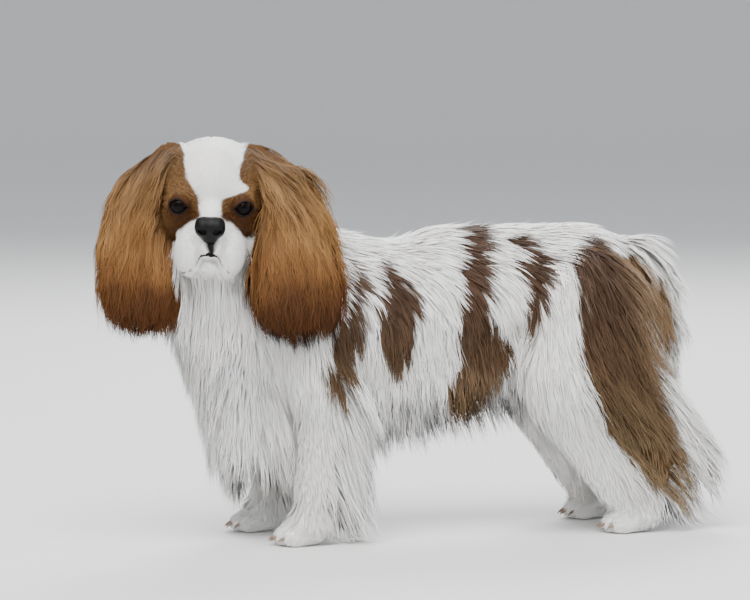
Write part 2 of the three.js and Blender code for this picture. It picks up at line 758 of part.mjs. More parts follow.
const pawRegion = new THREE.BoxGeometry(1200, 600, PAW_TOP - 0.15).translate(0, 0, PAW_TOP / 2);
const mirrored = (line, s) => line.map(([x, y, z]) => V(x, s * y, z));
for (const [side, s] of Object.entries(SIDES)) {
  const limbs = { front: [FORE_FOOT_X[s], foreLegPlaces(s)], hind: [HIND_FOOT_X[s], hindLegPlaces(s)] };
  const rows = {
    front: [
      [[[-70, 66, 195], [-44, 66, 185]], 2, { lie: V(0.3, 0, -1), length: 80, width: 28 }],
      [[[-52, 60, 150], [-46, 48, 140]], 2, { lie: V(0.3, 0, -1), length: 100, width: 26 }],
      [[[-52, 52, 120], [-62, 52, 75]], 3, { lie: V(0.55, 0, -0.9), length: 78, width: 24 }],
      [[[-66, 50, 58], [-68, 48, 42]], 1, { lie: V(0.9, 0, -0.4), length: 42, width: 20 }],
      [[[-96, 62, 180], [-98, 60, 130]], 2, { lie: V(0, 0, -1), length: 70, width: 24 }],
    ],
    hind: [
      [[[262, 50, 235], [264, 50, 175]], 3, { lie: V(0.55, 0, -1), length: 88, width: 28 }],
      [[[262, 66, 205], [272, 66, 140]], 2, { lie: V(0.6, 0.08 * s, -1), length: 80, width: 26 }],
      [[[292, 50, 140], [306, 50, 100]], 3, { lie: V(0.9, 0, -0.9), length: 78, width: 26 }],
      [[[304, 52, 84], [292, 50, 48]], 2, { lie: V(1, 0, -0.5), length: 64, width: 24 }],
      [[[160, 64, 150], [240, 62, 100]], 3, { lie: V(0.2, 0, -1), length: 78, width: 28 }],
      [[[180, 80, 200], [225, 80, 195]], 1, { lie: V(0.45, 0, -1), length: 85, width: 34 }],
    ],
  };
  for (const [end, [x, { wrist, hock, ankle }]] of Object.entries(limbs)) {
    const shank = limb(wrist ?? hock, ankle, 13.5, 13);
    const foot = melted([...coated(paw(x, s), COAT.paw), grown(shank, COAT.leg)], 2);
    const net = evenNet(foot, 10);
    const claws = TOES.map((k) => {
      const claw = new THREE.ConeGeometry(CLAW.radius, CLAW.length, 4).rotateZ(2.1);
      return pieceFrom(claw.translate(...toePlace(x, s, k).add(V(-13, 0, -2))));
    });
    const clawed = joined([net, ...claws].map(solid));
    addNode(`paw_${end}_${side}`, WHITE, pieceOf(clawed), pawRegion, []);
    const leg = `leg_${end}_${side}`;
    const shift = end === "front" ? x - FORE_FOOT_X[LEFT] : x - HIND_FOOT_X[LEFT];
    const locks = rows[end].flatMap(([line, count, kind]) => {
      const moved = mirrored(line, s).map((p) => p.add(V(shift, 0, 0)));
      return lockRow(bodyField, moved, count, kind);
    });
    addNode(leg, WHITE, nets.leg, regions[leg], [pieceFrom(pawRegion)], locks);
  }
}

const tailSurface = grown(tailField(), COAT.tail);
const tailLocks = [
  [[[270, -12, 292], [300, -14, 268]], 2, { lie: V(0.6, 0, -0.8), length: 66, width: 26 }],
  [[[270, 12, 292], [300, 14, 268]], 2, { lie: V(0.6, 0, -0.8), length: 66, width: 26 }],
  [[[316, 0, 258], [320, 0, 210]], 2, { lie: V(0.15, 0, -1), length: 66, width: 26 }],
  [[[305, -18, 225], [302, -18, 190]], 2, { lie: V(0, 0, -1), length: 58, width: 24 }],
  [[[305, 18, 225], [302, 18, 190]], 2, { lie: V(0, 0, -1), length: 58, width: 24 }],
].flatMap(([line, count, kind]) => lockRow(tailSurface, mirrored(line, 1), count, kind));
addNode("tail", WHITE, evenNet(tailSurface, 13), null, wholeBody, tailLocks);

const legRegions = Object.keys(regions).filter((name) => name.startsWith("leg"));
const cutFrom = (names) => names.map((name) => pieceFrom(regions[name]));
const neckLocks = [];
const torsoLocks = [];
const hanging = (lean, length, width) => ({ lie: V(lean, 0, -1), length, width });
for (const s of [LEFT, RIGHT]) {
  const add = (list, line, count, kind) =>
    list.push(...lockRow(bodyField, mirrored(line, s), count, kind));
  add(neckLocks, [[-92, 58, 308]], 1, hanging(0.35, 80, 36));
  add(neckLocks, [[-186, 38, 285], [-145, 62, 275]], 2, hanging(0, 75, 28));
  add(torsoLocks, [[-196, 14, 235], [-150, 62, 235]], 3, hanging(0.16, 90, 28));
  add(torsoLocks, [[-194, 14, 180], [-160, 46, 175]], 2, hanging(-0.05, 95, 32));
  add(torsoLocks, [[-180, 9, 135], [-146, 32, 130]], 2, hanging(0.05, 80, 28));
  add(torsoLocks, [[-15, 72, 205], [100, 64, 215]], 2, hanging(0.4, 95, 36));
  add(torsoLocks, [[-34, 52, 160], [-10, 50, 160]], 2, hanging(0.15, 104, 30));
  add(torsoLocks, [[30, 50, 158], [125, 46, 170]], 3, hanging(0.3, 78, 32));
  add(torsoLocks, [[40, 16, 132]], 1, hanging(0.25, 45, 34));
}
addNode("neck", WHITE, nets.neck, regions.neck, cutFrom(["head", ...legRegions]), neckLocks);
addNode("torso", WHITE, nets.torso, null, cutFrom(["head", "neck", ...legRegions]), torsoLocks);

// Fitting: each core is cut to its place, then its locks are cut clear of every other core and of
// the locks before them, and joined to it

for (const node of nodes) {
  let body = solid(node.net);
  if (node.region) body = body.intersect(solid(pieceFrom(node.region)));
  for (const cutter of node.clearOf) body = body.subtract(solid(swollen(cutter)));
  node.core = tidied(body);
}

const dog = new THREE.Group();
let laid = null;
for (const node of nodes) {
  let body = node.core;
  if (node.locks.length) {
    let hair = joined(node.locks.map(solid));
    for (const { core } of nodes.filter((other) => other !== node))
      hair = hair.subtract(solid(core)).subtract(solid(swollen(core)));
    if (laid) hair = hair.subtract(laid);
    body = tidied(solid(body).add(hair));
    const spread = joined(node.locks.flatMap((lock) => [solid(lock), solid(swollen(lock))]));
    laid = laid ? laid.add(spread) : spread;
  }
  const material = new THREE.MeshStandardMaterial({ color: node.colour, roughness: 0.8, metalness: 0 });
  const mesh = new THREE.Mesh(geometryOf(body), material);
  mesh.name = node.name;
  dog.add(mesh);
}

const whole = new THREE.Box3().setFromObject(dog);
const middle = whole.getCenter(V(0, 0, 0));
dog.position.set(-middle.x, -middle.y, -whole.min.z);

export default dog;
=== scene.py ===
"""A toy spaniel, white with chestnut patches, standing with its head turned to its left.

The forms are worked out in the dog's own frame, in millimetres, with the same named sizes as its
solids: x runs from the breast to the tail, y to the dog's right, z up from the floor. placed()
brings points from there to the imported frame, in metres."""

import itertools
import math

import bpy
import numpy as np
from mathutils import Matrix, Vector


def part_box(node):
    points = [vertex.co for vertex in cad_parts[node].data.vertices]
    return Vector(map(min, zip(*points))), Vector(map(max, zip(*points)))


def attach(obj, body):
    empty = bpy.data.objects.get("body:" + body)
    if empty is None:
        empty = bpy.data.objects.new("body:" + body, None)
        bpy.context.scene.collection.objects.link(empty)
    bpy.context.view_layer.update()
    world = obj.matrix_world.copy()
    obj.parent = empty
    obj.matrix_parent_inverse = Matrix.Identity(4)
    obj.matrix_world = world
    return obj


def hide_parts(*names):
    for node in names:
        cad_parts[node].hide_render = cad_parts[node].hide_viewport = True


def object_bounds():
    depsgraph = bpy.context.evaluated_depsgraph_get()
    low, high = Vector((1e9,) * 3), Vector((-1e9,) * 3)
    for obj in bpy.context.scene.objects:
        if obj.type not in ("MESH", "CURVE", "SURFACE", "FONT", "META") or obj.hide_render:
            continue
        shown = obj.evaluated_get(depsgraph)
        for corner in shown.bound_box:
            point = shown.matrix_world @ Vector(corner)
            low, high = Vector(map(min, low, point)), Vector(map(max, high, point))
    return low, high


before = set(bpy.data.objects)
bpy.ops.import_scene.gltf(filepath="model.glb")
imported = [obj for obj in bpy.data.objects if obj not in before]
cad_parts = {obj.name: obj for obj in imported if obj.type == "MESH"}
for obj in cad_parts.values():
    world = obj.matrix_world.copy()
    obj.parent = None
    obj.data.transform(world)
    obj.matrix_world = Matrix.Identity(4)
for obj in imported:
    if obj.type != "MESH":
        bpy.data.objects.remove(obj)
cad_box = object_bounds()
rng = np.random.default_rng(7)

# Sizes

LEFT, RIGHT = -1, 1
SIDES = {"left": LEFT, "right": RIGHT}
BACK_HEIGHT = 298
CHEST_DEPTH = 148
CHEST_WIDTH = 128
STANCE = 49
FORE_FOOT_X = {LEFT: -82, RIGHT: -106}
HIND_FOOT_X = {LEFT: 256, RIGHT: 246}
EYE_RADIUS = 10.5
EYE_HALF_WIDTH, EYE_HALF_HEIGHT = 9.4, 6.7
EYE_TURN = -0.2
TOES = (-1.5, -0.5, 0.5, 1.5)
TOE_SPREAD, TOE_SWEEP = 8.5, 3
FLOOR_GAP = 0.3
EAR_FACE = np.array([-0.1, -1, 0.05]) / np.linalg.norm([-0.1, -1, 0.05])

# The head's own frame: x out of the muzzle, y to the dog's left, z up
HEAD_CENTRE = np.array([-168.0, -15.0, 343.0])
HEAD_YAW, HEAD_DIP, HEAD_LEAN = math.radians(-12.5), math.radians(7), math.radians(2)


def turned(v, axis, angle):
    """v turned about a unit axis: the part along the axis stays, the rest swings by the angle."""
    across = np.cross(axis, v)
    return v * math.cos(angle) + across * math.sin(angle) + axis * (axis @ v) * (1 - math.cos(angle))


def head_axes():
    """The head's forward, left and up directions as the columns of a matrix."""
    level = math.cos(HEAD_DIP)
    forward = np.array([math.sin(HEAD_YAW) * level, -math.cos(HEAD_YAW) * level, -math.sin(HEAD_DIP)])
    left = np.cross([0, 0, 1], forward)
    left /= np.linalg.norm(left)
    up = np.cross(forward, left)
    return np.stack([forward, turned(left, forward, -HEAD_LEAN), turned(up, forward, -HEAD_LEAN)], axis=1)


HEAD_AXES = head_axes()


def in_head(x, y, z):
    """A place given in the head's frame, as one in the dog's."""
    return HEAD_AXES @ np.array([x, y, z], float) + HEAD_CENTRE


def to_head(points):
    """Places in the dog's frame, as ones in the head's."""
    return (points - HEAD_CENTRE) @ HEAD_AXES


def eye_place(s):
    """The middle of the eye on one side, in the head's frame."""
    return np.array([41.0, -s * 30.0, -2.5])


MM = 1000
eye_box = np.array(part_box("eye_left")) * MM
SHIFT = eye_box.mean(axis=0) - in_head(*eye_place(LEFT))


def placed(points):
    """Places in the dog's frame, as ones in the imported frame."""
    return (points + SHIFT) / MM


# Forms


class Form:
    """A rounded solid: distance(points) is about the distance from its surface, below 0 inside.
    low and high are the corners of its box."""

    def __init__(self, distance, low, high):
        self.distance, self.low, self.high = distance, np.asarray(low, float), np.asarray(high, float)

    def grown(self, depth):
        """The form with its surface moved out by a depth."""
        return Form(lambda p: self.distance(p) - depth, self.low - depth, self.high + depth)


def egg(centre, radii):
    """An ellipsoid. near is how many radii off a point is; the distance is near (near - 1) over
    the length of near's own slope."""
    c, r = np.array(centre, float), np.array(radii, float)

    def distance(p):
        q = (p - c) / r
        near = np.sqrt(np.einsum("ij,ij->i", q, q))
        q /= r
        slope = np.sqrt(np.einsum("ij,ij->i", q, q))
        return np.where(slope < 1e-9, -r.min(), near * (near - 1) / np.maximum(slope, 1e-9))

    return Form(distance, c - r, c + r)


def limb(a, b, radius_a, radius_b, flat=1.0, across=(0, 1, 0)):
    """A tapered capsule from a to b, whose width along across is flat times its radius."""
    a, b, across = np.array(a, float), np.array(b, float), np.array(across, float)
    along = b - a

    def distance(p):
        v = p - a
        share = np.clip(v @ along / (along @ along), 0, 1)
        radius = radius_a + (radius_b - radius_a) * share
        v -= share[:, None] * along
        side = v @ across
        v += (side / flat - side)[:, None] * across
        near = np.sqrt(np.einsum("ij,ij->i", v, v)) / radius
        v += (side / flat**2 - side / flat)[:, None] * across
        slope = np.sqrt(np.einsum("ij,ij->i", v, v)) / radius**2
        return np.where(slope < 1e-9, -radius * flat, near * (near - 1) / np.maximum(slope, 1e-9))

    most = max(radius_a, radius_b)
    return Form(distance, np.minimum(a, b) - most, np.maximum(a, b) + most)


def melted(forms, melt, reach=None):
    """Several forms as one: minus melt times the log of the sum of exp(-distance / melt). A form
    counts only within reach of its box, and beyond reach of them all the distance is reach."""
    reach = reach or max(14.0, 7.5 * melt)
    low = np.min([form.low for form in forms], axis=0)
    high = np.max([form.high for form in forms], axis=0)

    def distance(p):
        total = np.full(len(p), math.exp(-reach / melt))
        for form in forms:
            near = np.all((p > form.low - reach) & (p < form.high + reach), axis=1)
            if near.any():
                total[near] += np.exp(-form.distance(p[near]) / melt)
        return -melt * np.log(total)

    return Form(distance, low, high)


def on_head(form):
    """A form given in the head's frame, as one in the dog's. Its box holds the turned corners."""
    corners = np.array(list(itertools.product(*zip(form.low, form.high))))
    turned_box = corners @ HEAD_AXES.T + HEAD_CENTRE
    return Form(lambda p: form.distance(to_head(p)), turned_box.min(axis=0), turned_box.max(axis=0))


def slope_of(distance, p, step=0.4):
    """The slope of a distance, from the four corners of a small tetrahedron round each point."""
    corners = np.array([[1, 1, 1], [1, -1, -1], [-1, 1, -1], [-1, -1, 1]], float)
    total = np.zeros_like(p)
    for corner in corners:
        total += corner * distance(p + step * corner)[:, None]
    return total / (4 * step)


def unit(v):
    """Vectors divided by their lengths."""
    return v / np.maximum(np.linalg.norm(v, axis=-1, keepdims=True), 1e-9)


def smooth(low, high, x):
    """0 below low and 1 above high, with an even s-shaped climb between."""
    t = np.clip((x - low) / (high - low), 0, 1)
    return t * t * (3 - 2 * t)


# The dog's flesh

skull = melted(
    [
        egg((-10, 0, 12), (56, 47, 43)),
        egg((20, 0, 18), (30, 37, 33)),
        limb((30, 0, -4), (62, 0, -12), 15, 10),
        egg((45, 0, -30), (28, 27, 21)),
        limb((0, 0, -36), (42, 0, -44), 22, 14),
    ]
    + [egg((15, s * 27, -14), (33, 20, 26)) for s in (LEFT, RIGHT)]
    + [egg((31, s * 23, 11), (16, 16, 12)) for s in (LEFT, RIGHT)],
    3.5,
)
flews = [egg((51, s * 19, -46), (25, 14.5, 24)) for s in (LEFT, RIGHT)]
lips = melted([egg((62, 0, -37), (16, 14, 12)), *flews], 2.5)
lids = [egg(eye_place(s), (12.4, 12.4, 12.4)) for s in (LEFT, RIGHT)]
plain_head = melted([skull, lips, egg((53, 0, -58), (17, 13, 9))], 1.6)
lidded_head = melted([plain_head, *lids], 1.0)

HALF_MOUTH = np.array([(40, 33, -60), (58, 28, -64), (69, 17, -58), (76, 6, -48)], float)
MOUTH = np.array([*HALF_MOUTH, (78, 0, -45), *(HALF_MOUTH * (1, -1, 1))[::-1]])
MOUTH_GROOVE, PHILTRUM_GROOVE = 1.7, 1.0
PHILTRUM = np.array([(82, 0, -28), (82, 0, -33), (80, 0, -40), (78, 0, -46)], float)


def off_line(points, line):
    """The distance of points from a line of places: the least over its stretches."""
    best = np.full(len(points), 1e9)
    for a, b in zip(line[:-1], line[1:]):
        along = b - a
        share = np.clip((points - a) @ along / (along @ along), 0, 1)
        best = np.minimum(best, np.linalg.norm(points - a - share[:, None] * along, axis=1))
    return best


def laid(line):
    """A line of places, moved onto the head."""
    line = line.copy()
    for _ in range(4):
        slope = slope_of(plain_head.distance, line)
        line -= slope * (plain_head.distance(line) / np.einsum("ij,ij->i", slope, slope))[:, None]
    return line


MOUTH_LINE, PHILTRUM_LINE = laid(MOUTH), laid(PHILTRUM)


def off_almond(points, s):
    """How far points in the head's frame are from the edge of an eye's opening, seen along the eye's
    own direction: |z| less a parabola h (1 - (y / w)^2), over the length of its slope."""
    q = points - eye_place(s)
    turn = EYE_TURN * s
    y = -math.sin(turn) * q[:, 0] + math.cos(turn) * q[:, 1] + 0.6 * s
    z = q[:, 2] + 0.05 * s * y
    edge = EYE_HALF_HEIGHT * (1 - (y / EYE_HALF_WIDTH) ** 2)
    steep = 2 * EYE_HALF_HEIGHT * y / EYE_HALF_WIDTH**2
    return np.where(q[:, 0] < 4, 30.0, (np.abs(z) - edge) / np.sqrt(1 + steep**2))


def head_distance(points):
    """The head with its lids, opened at each eye and grooved along the mouth and the philtrum."""
    d = lidded_head.distance(points)
    for s in (LEFT, RIGHT):
        d = np.maximum(d, -off_almond(points, s))
    d = np.maximum(d, MOUTH_GROOVE - off_line(points, MOUTH_LINE))
    return np.maximum(d, PHILTRUM_GROOVE - off_line(points, PHILTRUM_LINE))


head = on_head(Form(head_distance, plain_head.low, plain_head.high))

trunk = [
    egg((-50, 0, BACK_HEIGHT - CHEST_DEPTH / 2), (104, CHEST_WIDTH / 2, CHEST_DEPTH / 2)),
    egg((-95, 0, 238), (58, 54, 57)),
    egg((-118, 0, 205), (48, 44, 50)),
    limb((0, 0, 228), (140, 0, 247), 62, 48, 0.98),
    limb((66, 0, 258), (214, 0, 261), 46, 43, 0.95),
    egg((198, 0, 247), (60, 53, 48)),
    egg((228, -24, 225), (32, 28, 42)),
    egg((228, 24, 225), (32, 28, 42)),
]
neck = [
    limb((-70, 0, 240), (-120, 0, 282), 54, 47),
    limb((-120, 0, 282), (-160, 8, 322), 47, 38),
    egg((-168, -24, 292), (32, 36, 34)),
    limb((-160, -16, 286), (-158, -2, 232), 30, 38),
]
long_hair = [
    limb((-150, 0, 208), (-142, 0, 120), 50, 34, 1.2),
    egg((-112, 0, 122), (38, 38, 38)),
    limb((-90, 0, 176), (-20, 0, 172), 44, 42, 1.2),
    limb((-20, 0, 172), (130, 0, 182), 42, 36, 1.3),
    egg((168, 0, 192), (48, 50, 38)),
]


def fore_leg(s):
    """The forms of a fore leg: shoulder, fore arm, pastern and the feather behind it."""
    x = FORE_FOOT_X[s]
    blade, elbow = (-88, s * 42, 222), ((x - 50) / 2, s * 52, 160)
    wrist, ankle = (x + 11, s * STANCE, 62), (x + 4, s * STANCE, 22)
    feather = limb((elbow[0] + 10, elbow[1], 150), (wrist[0] + 22, wrist[1], 54), 17, 7, 0.5)
    shoulder = limb(blade, elbow, 34, 20, 0.75)
    return [shoulder, limb(elbow, wrist, 20, 13.5), limb(wrist, ankle, 13.5, 13), feather]


def hind_leg(s):
    """The forms of a hind leg: thigh, second thigh, hock and the hair behind them."""
    x = HIND_FOOT_X[s]
    hip, knee = (206, s * 36, 240), (178, s * 54, 166)
    hock, ankle = (x + 27, s * 51, 92), (x + 12, s * STANCE, 22)
    return [
        limb(hip, knee, 46, 31, 0.62),
        limb((222, s * 40, 214), (232, s * 48, 160), 36, 22, 0.6),
        limb(knee, hock, 29, 14, 0.8),
        limb(hock, ankle, 14.5, 12.5),
        limb((240, s * 44, 175), (hock[0] + 14, hock[1], 96), 29, 20, 0.55),
        limb((hock[0] + 16, hock[1], 92), (ankle[0] + 14, ankle[1], 44), 17, 6, 0.5),
        limb((184, s * 52, 138), (x - 12, s * 50, 52), 34, 25, 0.55),
    ]


def toe_place(x, s, k):
    """Where toe k of a foot is: across by TOE_SPREAD k, and back by TOE_SWEEP k^2."""
    return x + TOE_SWEEP * k * k, s * STANCE + TOE_SPREAD * k


def paw(x, s):
    """A paw: a pad and four toes, the middle two ahead."""
    toes = [egg((toe_x - 20, y, 9), (12, 5.6, 9)) for toe_x, y in (toe_place(x, s, k) for k in TOES)]
    return melted([egg((x, s * STANCE, 14), (21, 16, 14)), *toes], 1.5)


TAIL_LINE = np.array([(240, 0, 276), (268, 0, 281), (290, 0, 260), (300, 0, 224), (298, 0, 188)], float)
TAIL_RADII = (12, 10.2, 8.4, 6.6, 4.8)
tail = [limb(*stretch) for stretch in zip(TAIL_LINE, TAIL_LINE[1:], TAIL_RADII, TAIL_RADII[1:])]

EAR_LINE = {
    LEFT: np.array([in_head(-6, 40, 36), (-97, -55, 348), (-98, -70, 304), (-98, -78, 268)]),
    RIGHT: np.array([in_head(-6, -42, 34), (-236, -4, 350), (-242, -10, 306), (-235, -16, 269)]),
}
EAR_WIDTHS = {LEFT: (17, 21, 34, 44), RIGHT: (17, 21, 30, 42)}
EAR_ROOT = {LEFT: (-100, -60, 342), RIGHT: (-230, -6, 342)}


def ear(s):
    """The leather of an ear: flat limbs along its line, and a round fold from the crown onto it."""
    line, widths = EAR_LINE[s], EAR_WIDTHS[s]
    leather = [limb(line[i], line[i + 1], widths[i], widths[i + 1], 0.2, EAR_FACE) for i in range(3)]
    return melted([*leather, limb(in_head(0, -36 * s, 33), EAR_ROOT[s], 12, 13)], 3)


def coated(forms, depth):
    """Forms with a depth of coat over them, or less than their own size where it is below 0."""
    return [form.grown(depth) for form in forms]


PARTS = {
    "head": [head],
    "ear_left": [ear(LEFT)],
    "ear_right": [ear(RIGHT)],
    "neck": coated(neck, 6),
    "torso": [*coated(trunk, 3), *coated(long_hair, -9)],
    "tail": tail,
}
for side, s in SIDES.items():
    PARTS["leg_front_" + side] = coated(fore_leg(s), 2)
    PARTS["leg_hind_" + side] = coated(hind_leg(s), 2)
    PARTS["paw_front_" + side] = [paw(FORE_FOOT_X[s], s)]
    PARTS["paw_hind_" + side] = [paw(HIND_FOOT_X[s], s)]
PART_NAMES = list(PARTS)
BODY_MELT, HEAD_MELT, SKIN_REACH = 5, 2.6, 26
groups = {name: melted(forms, BODY_MELT) if len(forms) > 1 else forms[0] for name, forms in PARTS.items()}
HEAD_GROUPS = ["head", "ear_left", "ear_right"]
body_forms = [form for name, forms in PARTS.items() if name not in HEAD_GROUPS for form in forms]
head_forms = [groups[name] for name in HEAD_GROUPS]
skin_form = melted([melted(body_forms, BODY_MELT), *head_forms], HEAD_MELT, reach=SKIN_REACH)


# Nets


def stretches(start, parts):
    """Grid lines from start through stretches, each given as its end and its spacing."""
    lines = [float(start)]
    for end, spacing in parts:
        count = max(1, round((end - lines[-1]) / spacing))
        lines.extend(np.linspace(lines[-1], end, count + 1)[1:])
    return np.array(lines)


def net_of(distance, lines, rounds=2):
    """The surface where a distance is 0 on a grid of lines. Each cell that it crosses has one point,
    the mean of where it cuts the cell's edges, and each edge that it cuts has one four-sided face
    between the four cells round it. Points are then evened out and put back on the surface."""
    shape = tuple(len(line) for line in lines)
    grid = np.stack(np.meshgrid(*lines, indexing="ij"), axis=-1).reshape(-1, 3)
    values = np.concatenate([distance(part) for part in np.array_split(grid, 24)]).reshape(shape)
    inside = values < 0
    cells = tuple(n - 1 for n in shape)
    total, count = np.zeros((*cells, 3), np.float32), np.zeros(cells, np.uint8)
    crossings = []
    for axis in range(3):
        ahead = [slice(None)] * 3
        behind = [slice(None)] * 3
        ahead[axis], behind[axis] = slice(1, None), slice(None, -1)
        a, b = values[tuple(behind)], values[tuple(ahead)]
        crossed = inside[tuple(behind)] != inside[tuple(ahead)]
        share = np.where(crossed, a / np.where(crossed, a - b, 1), 0)
        places = np.zeros((*a.shape, 3), np.float32)
        for other in range(3):
            spread = [None] * 3
            spread[other] = slice(None)
            line = lines[other] if other != axis else lines[other][:-1]
            places[..., other] = line[tuple(spread)]
        step = [None] * 3
        step[axis] = slice(None)
        places[..., axis] += share * np.diff(lines[axis])[tuple(step)]
        places[~crossed] = 0
        u, v = [k for k in range(3) if k != axis]
        for du in (0, 1):
            for dv in (0, 1):
                part = [slice(None)] * 3
                part[u] = slice(du, du + cells[u])
                part[v] = slice(dv, dv + cells[v])
                total += places[tuple(part)]
                count += crossed[tuple(part)]
        crossings.append(crossed)
    used = count > 0
    number = np.full(cells, -1, np.int64)
    number[used] = np.arange(used.sum())
    points = (total[used] / count[used][:, None]).astype(float)
    quads = []
    for axis, crossed in enumerate(crossings):
        u, v = (axis + 1) % 3, (axis + 2) % 3
        at = np.argwhere(crossed)
        at = at[(at[:, u] > 0) & (at[:, v] > 0) & (at[:, u] < shape[u] - 1) & (at[:, v] < shape[v] - 1)]
        corners = []
        for du, dv in ((-1, -1), (0, -1), (0, 0), (-1, 0)):
            cell = at.copy()
            cell[:, u] += du
            cell[:, v] += dv
            corners.append(number[tuple(cell.T)])
        faces = np.stack(corners, axis=1)
        outward = inside[tuple(at.T)]
        faces[~outward] = faces[~outward][:, ::-1]
        quads.append(faces)
    quads = np.concatenate(quads)
    for turn in range(rounds):
        total = np.zeros_like(points)
        for k in (1, 3):
            for n in range(4):
                np.add.at(total, quads[:, n], points[quads[:, (n + k) % 4]])
        around = np.bincount(quads.ravel(), minlength=len(points))[:, None] * 2
        points += 0.5 * (total / around - points)
        points = settled(distance, points, 2 if turn == rounds - 1 else 1)
    return points, quads


def settled(distance, points, steps):
    """Points moved along the slope onto the surface."""
    for _ in range(steps):
        slope = slope_of(distance, points)
        share = distance(points) / np.maximum(np.einsum("ij,ij->i", slope, slope), 0.3)
        points = points - slope * np.clip(share, -3, 3)[:, None]
    return points


# Meshes


def grid_faces(rows, columns, wrap):
    """The four-sided faces between the points of a grid. With wrap, the last column meets the first."""
    i, j = np.meshgrid(np.arange(rows - 1), np.arange(columns if wrap else columns - 1), indexing="ij")
    start, left, right = columns * i.ravel(), j.ravel(), (j.ravel() + 1) % columns
    return np.stack([start + left, start + columns + left, start + columns + right, start + right], axis=1)


def mesh_piece(name, points, faces, material, attributes=None, uv=None, ways=None):
    """A piece from arrays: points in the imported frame, faces of one count of corners, attributes by
    point, one place by corner for the piece's map, and ways, the direction each point is shaded by."""
    mesh = bpy.data.meshes.new(name)
    corners = faces.shape[1]
    mesh.vertices.add(len(points))
    mesh.vertices.foreach_set("co", np.ascontiguousarray(points, np.float32).ravel())
    mesh.loops.add(faces.size)
    mesh.loops.foreach_set("vertex_index", faces.astype(np.int32).ravel())
    mesh.polygons.add(len(faces))
    mesh.polygons.foreach_set("loop_start", np.arange(0, faces.size, corners, dtype=np.int32))
    mesh.polygons.foreach_set("use_smooth", np.full(len(faces), True))
    mesh.update(calc_edges=True)
    for label, values in (attributes or {}).items():
        layer = mesh.attributes.new(label, "FLOAT_COLOR", "POINT")
        colours = np.ones((len(points), 4), np.float32)
        colours[:, : values.shape[1]] = values
        layer.data.foreach_set("color", colours.ravel())
    if uv is not None:
        mesh.uv_layers.new(name="OFBake").data.foreach_set("uv", uv.astype(np.float32).ravel())
    if ways is not None:
        mesh.normals_split_custom_set_from_vertices(ways.astype(np.float32))
    piece = bpy.data.objects.new(name, mesh)
    bpy.context.scene.collection.objects.link(piece)
    mesh.materials.append(material)
    return piece


# Markings


def part_is(parts, *starts):
    """Whether numbered parts have names with one of these starts."""
    return np.isin(parts, [i for i, name in enumerate(PART_NAMES) if name.startswith(starts)])


def off_streaks(x, z, streaks):
    """The distance from patches in side view. Each patch is a line of (x, z, radius) places, and a
    point's distance from it is the least over its stretches, less the radius there."""
    best = np.full(len(x), 1e3)
    for streak in streaks:
        for (ax, az, ar), (bx, bz, br) in zip(streak[:-1], streak[1:]):
            dx, dz = bx - ax, bz - az
            share = np.clip(((x - ax) * dx + (z - az) * dz) / (dx * dx + dz * dz), 0, 1)
            off = np.hypot(x - ax - share * dx, z - az - share * dz) - (ar + (br - ar) * share)
            best = np.minimum(best, off)
    return best


NEAR_PATCHES = [
    [(-38, 272, 7), (-40, 244, 11), (-48, 208, 18), (-57, 176, 14), (-58, 156, 7)],
    [(-6, 274, 9), (4, 240, 22), (6, 206, 20), (10, 178, 8)],
    [(94, 306, 16), (86, 270, 17), (88, 222, 18), (104, 190, 28), (88, 160, 24), (80, 118, 16)],
    [(140, 298, 7), (142, 294, 6)],
    [(148, 274, 15), (150, 250, 12), (150, 216, 4)],
    [(214, 280, 20), (226, 240, 34), (230, 190, 40), (242, 140, 34), (264, 98, 29)],
    [(264, 98, 29), (284, 66, 23), (291, 48, 12)],
    [(194, 276, 12), (206, 262, 16)],
    [(254, 276, 13), (274, 254, 22), (284, 218, 22), (280, 192, 14)],
]
FAR_PATCHES = [
    [(256, 272, 8), (276, 252, 12), (286, 216, 8)],
    [(-70, 276, 10), (-48, 230, 26), (-40, 190, 18)],
    [(40, 300, 12), (46, 250, 24), (54, 206, 18)],
    [(110, 300, 14), (124, 260, 18), (126, 216, 8)],
    [(206, 284, 20), (220, 240, 34), (228, 190, 36), (246, 140, 24)],
]


def ragged(points, size, seed):
    """A soft, even noise between -1 and 1: the mean of sines along fixed random directions."""
    draw = np.random.default_rng(seed)
    waves = draw.normal(size=(9, 3)) * (2 * math.pi / size) * 0.5
    return np.sin(points @ waves.T + draw.uniform(0, 2 * math.pi, 9)).mean(axis=1) * 1.6


def body_chestnut(points):
    """How chestnut the coat is at points of the body, 0 to 1, from its patches in side view."""
    x, y, z = points.T
    off = np.where(y < 0, off_streaks(x, z, NEAR_PATCHES), off_streaks(x, z, FAR_PATCHES))
    off = off + 5 * ragged(points, 26, 3) + 3 * ragged(points, 11, 4)
    return 1 - smooth(-5, 5, off)


def head_chestnut(points):
    """How chestnut the head is: a white blaze up the forehead, muzzle and chin, chestnut round the
    eyes, on the cheeks and over the sides of the skull."""
    x, y, z = to_head(points).T
    across = np.abs(y)
    notch = 17 * np.exp(-(((z - 15) / 5.5) ** 2)) * (y > 0)
    blaze = 9.5 + 15 * smooth(2, 26, z) + 9 * smooth(30, 60, z) + notch
    upper = smooth(-2.5, 3, across - blaze + 2 * ragged(points, 16, 5))
    edge = 7.5 + 20 * smooth(-5, -27, z)
    off_muzzle = across - edge - 14 * smooth(26, 48, x) * smooth(-22, -40, z)
    lower = smooth(-3, 4, off_muzzle + 2 * ragged(points, 16, 6)) * smooth(-66, -44, z)
    return np.where(z > -4, upper, np.minimum(upper, lower))


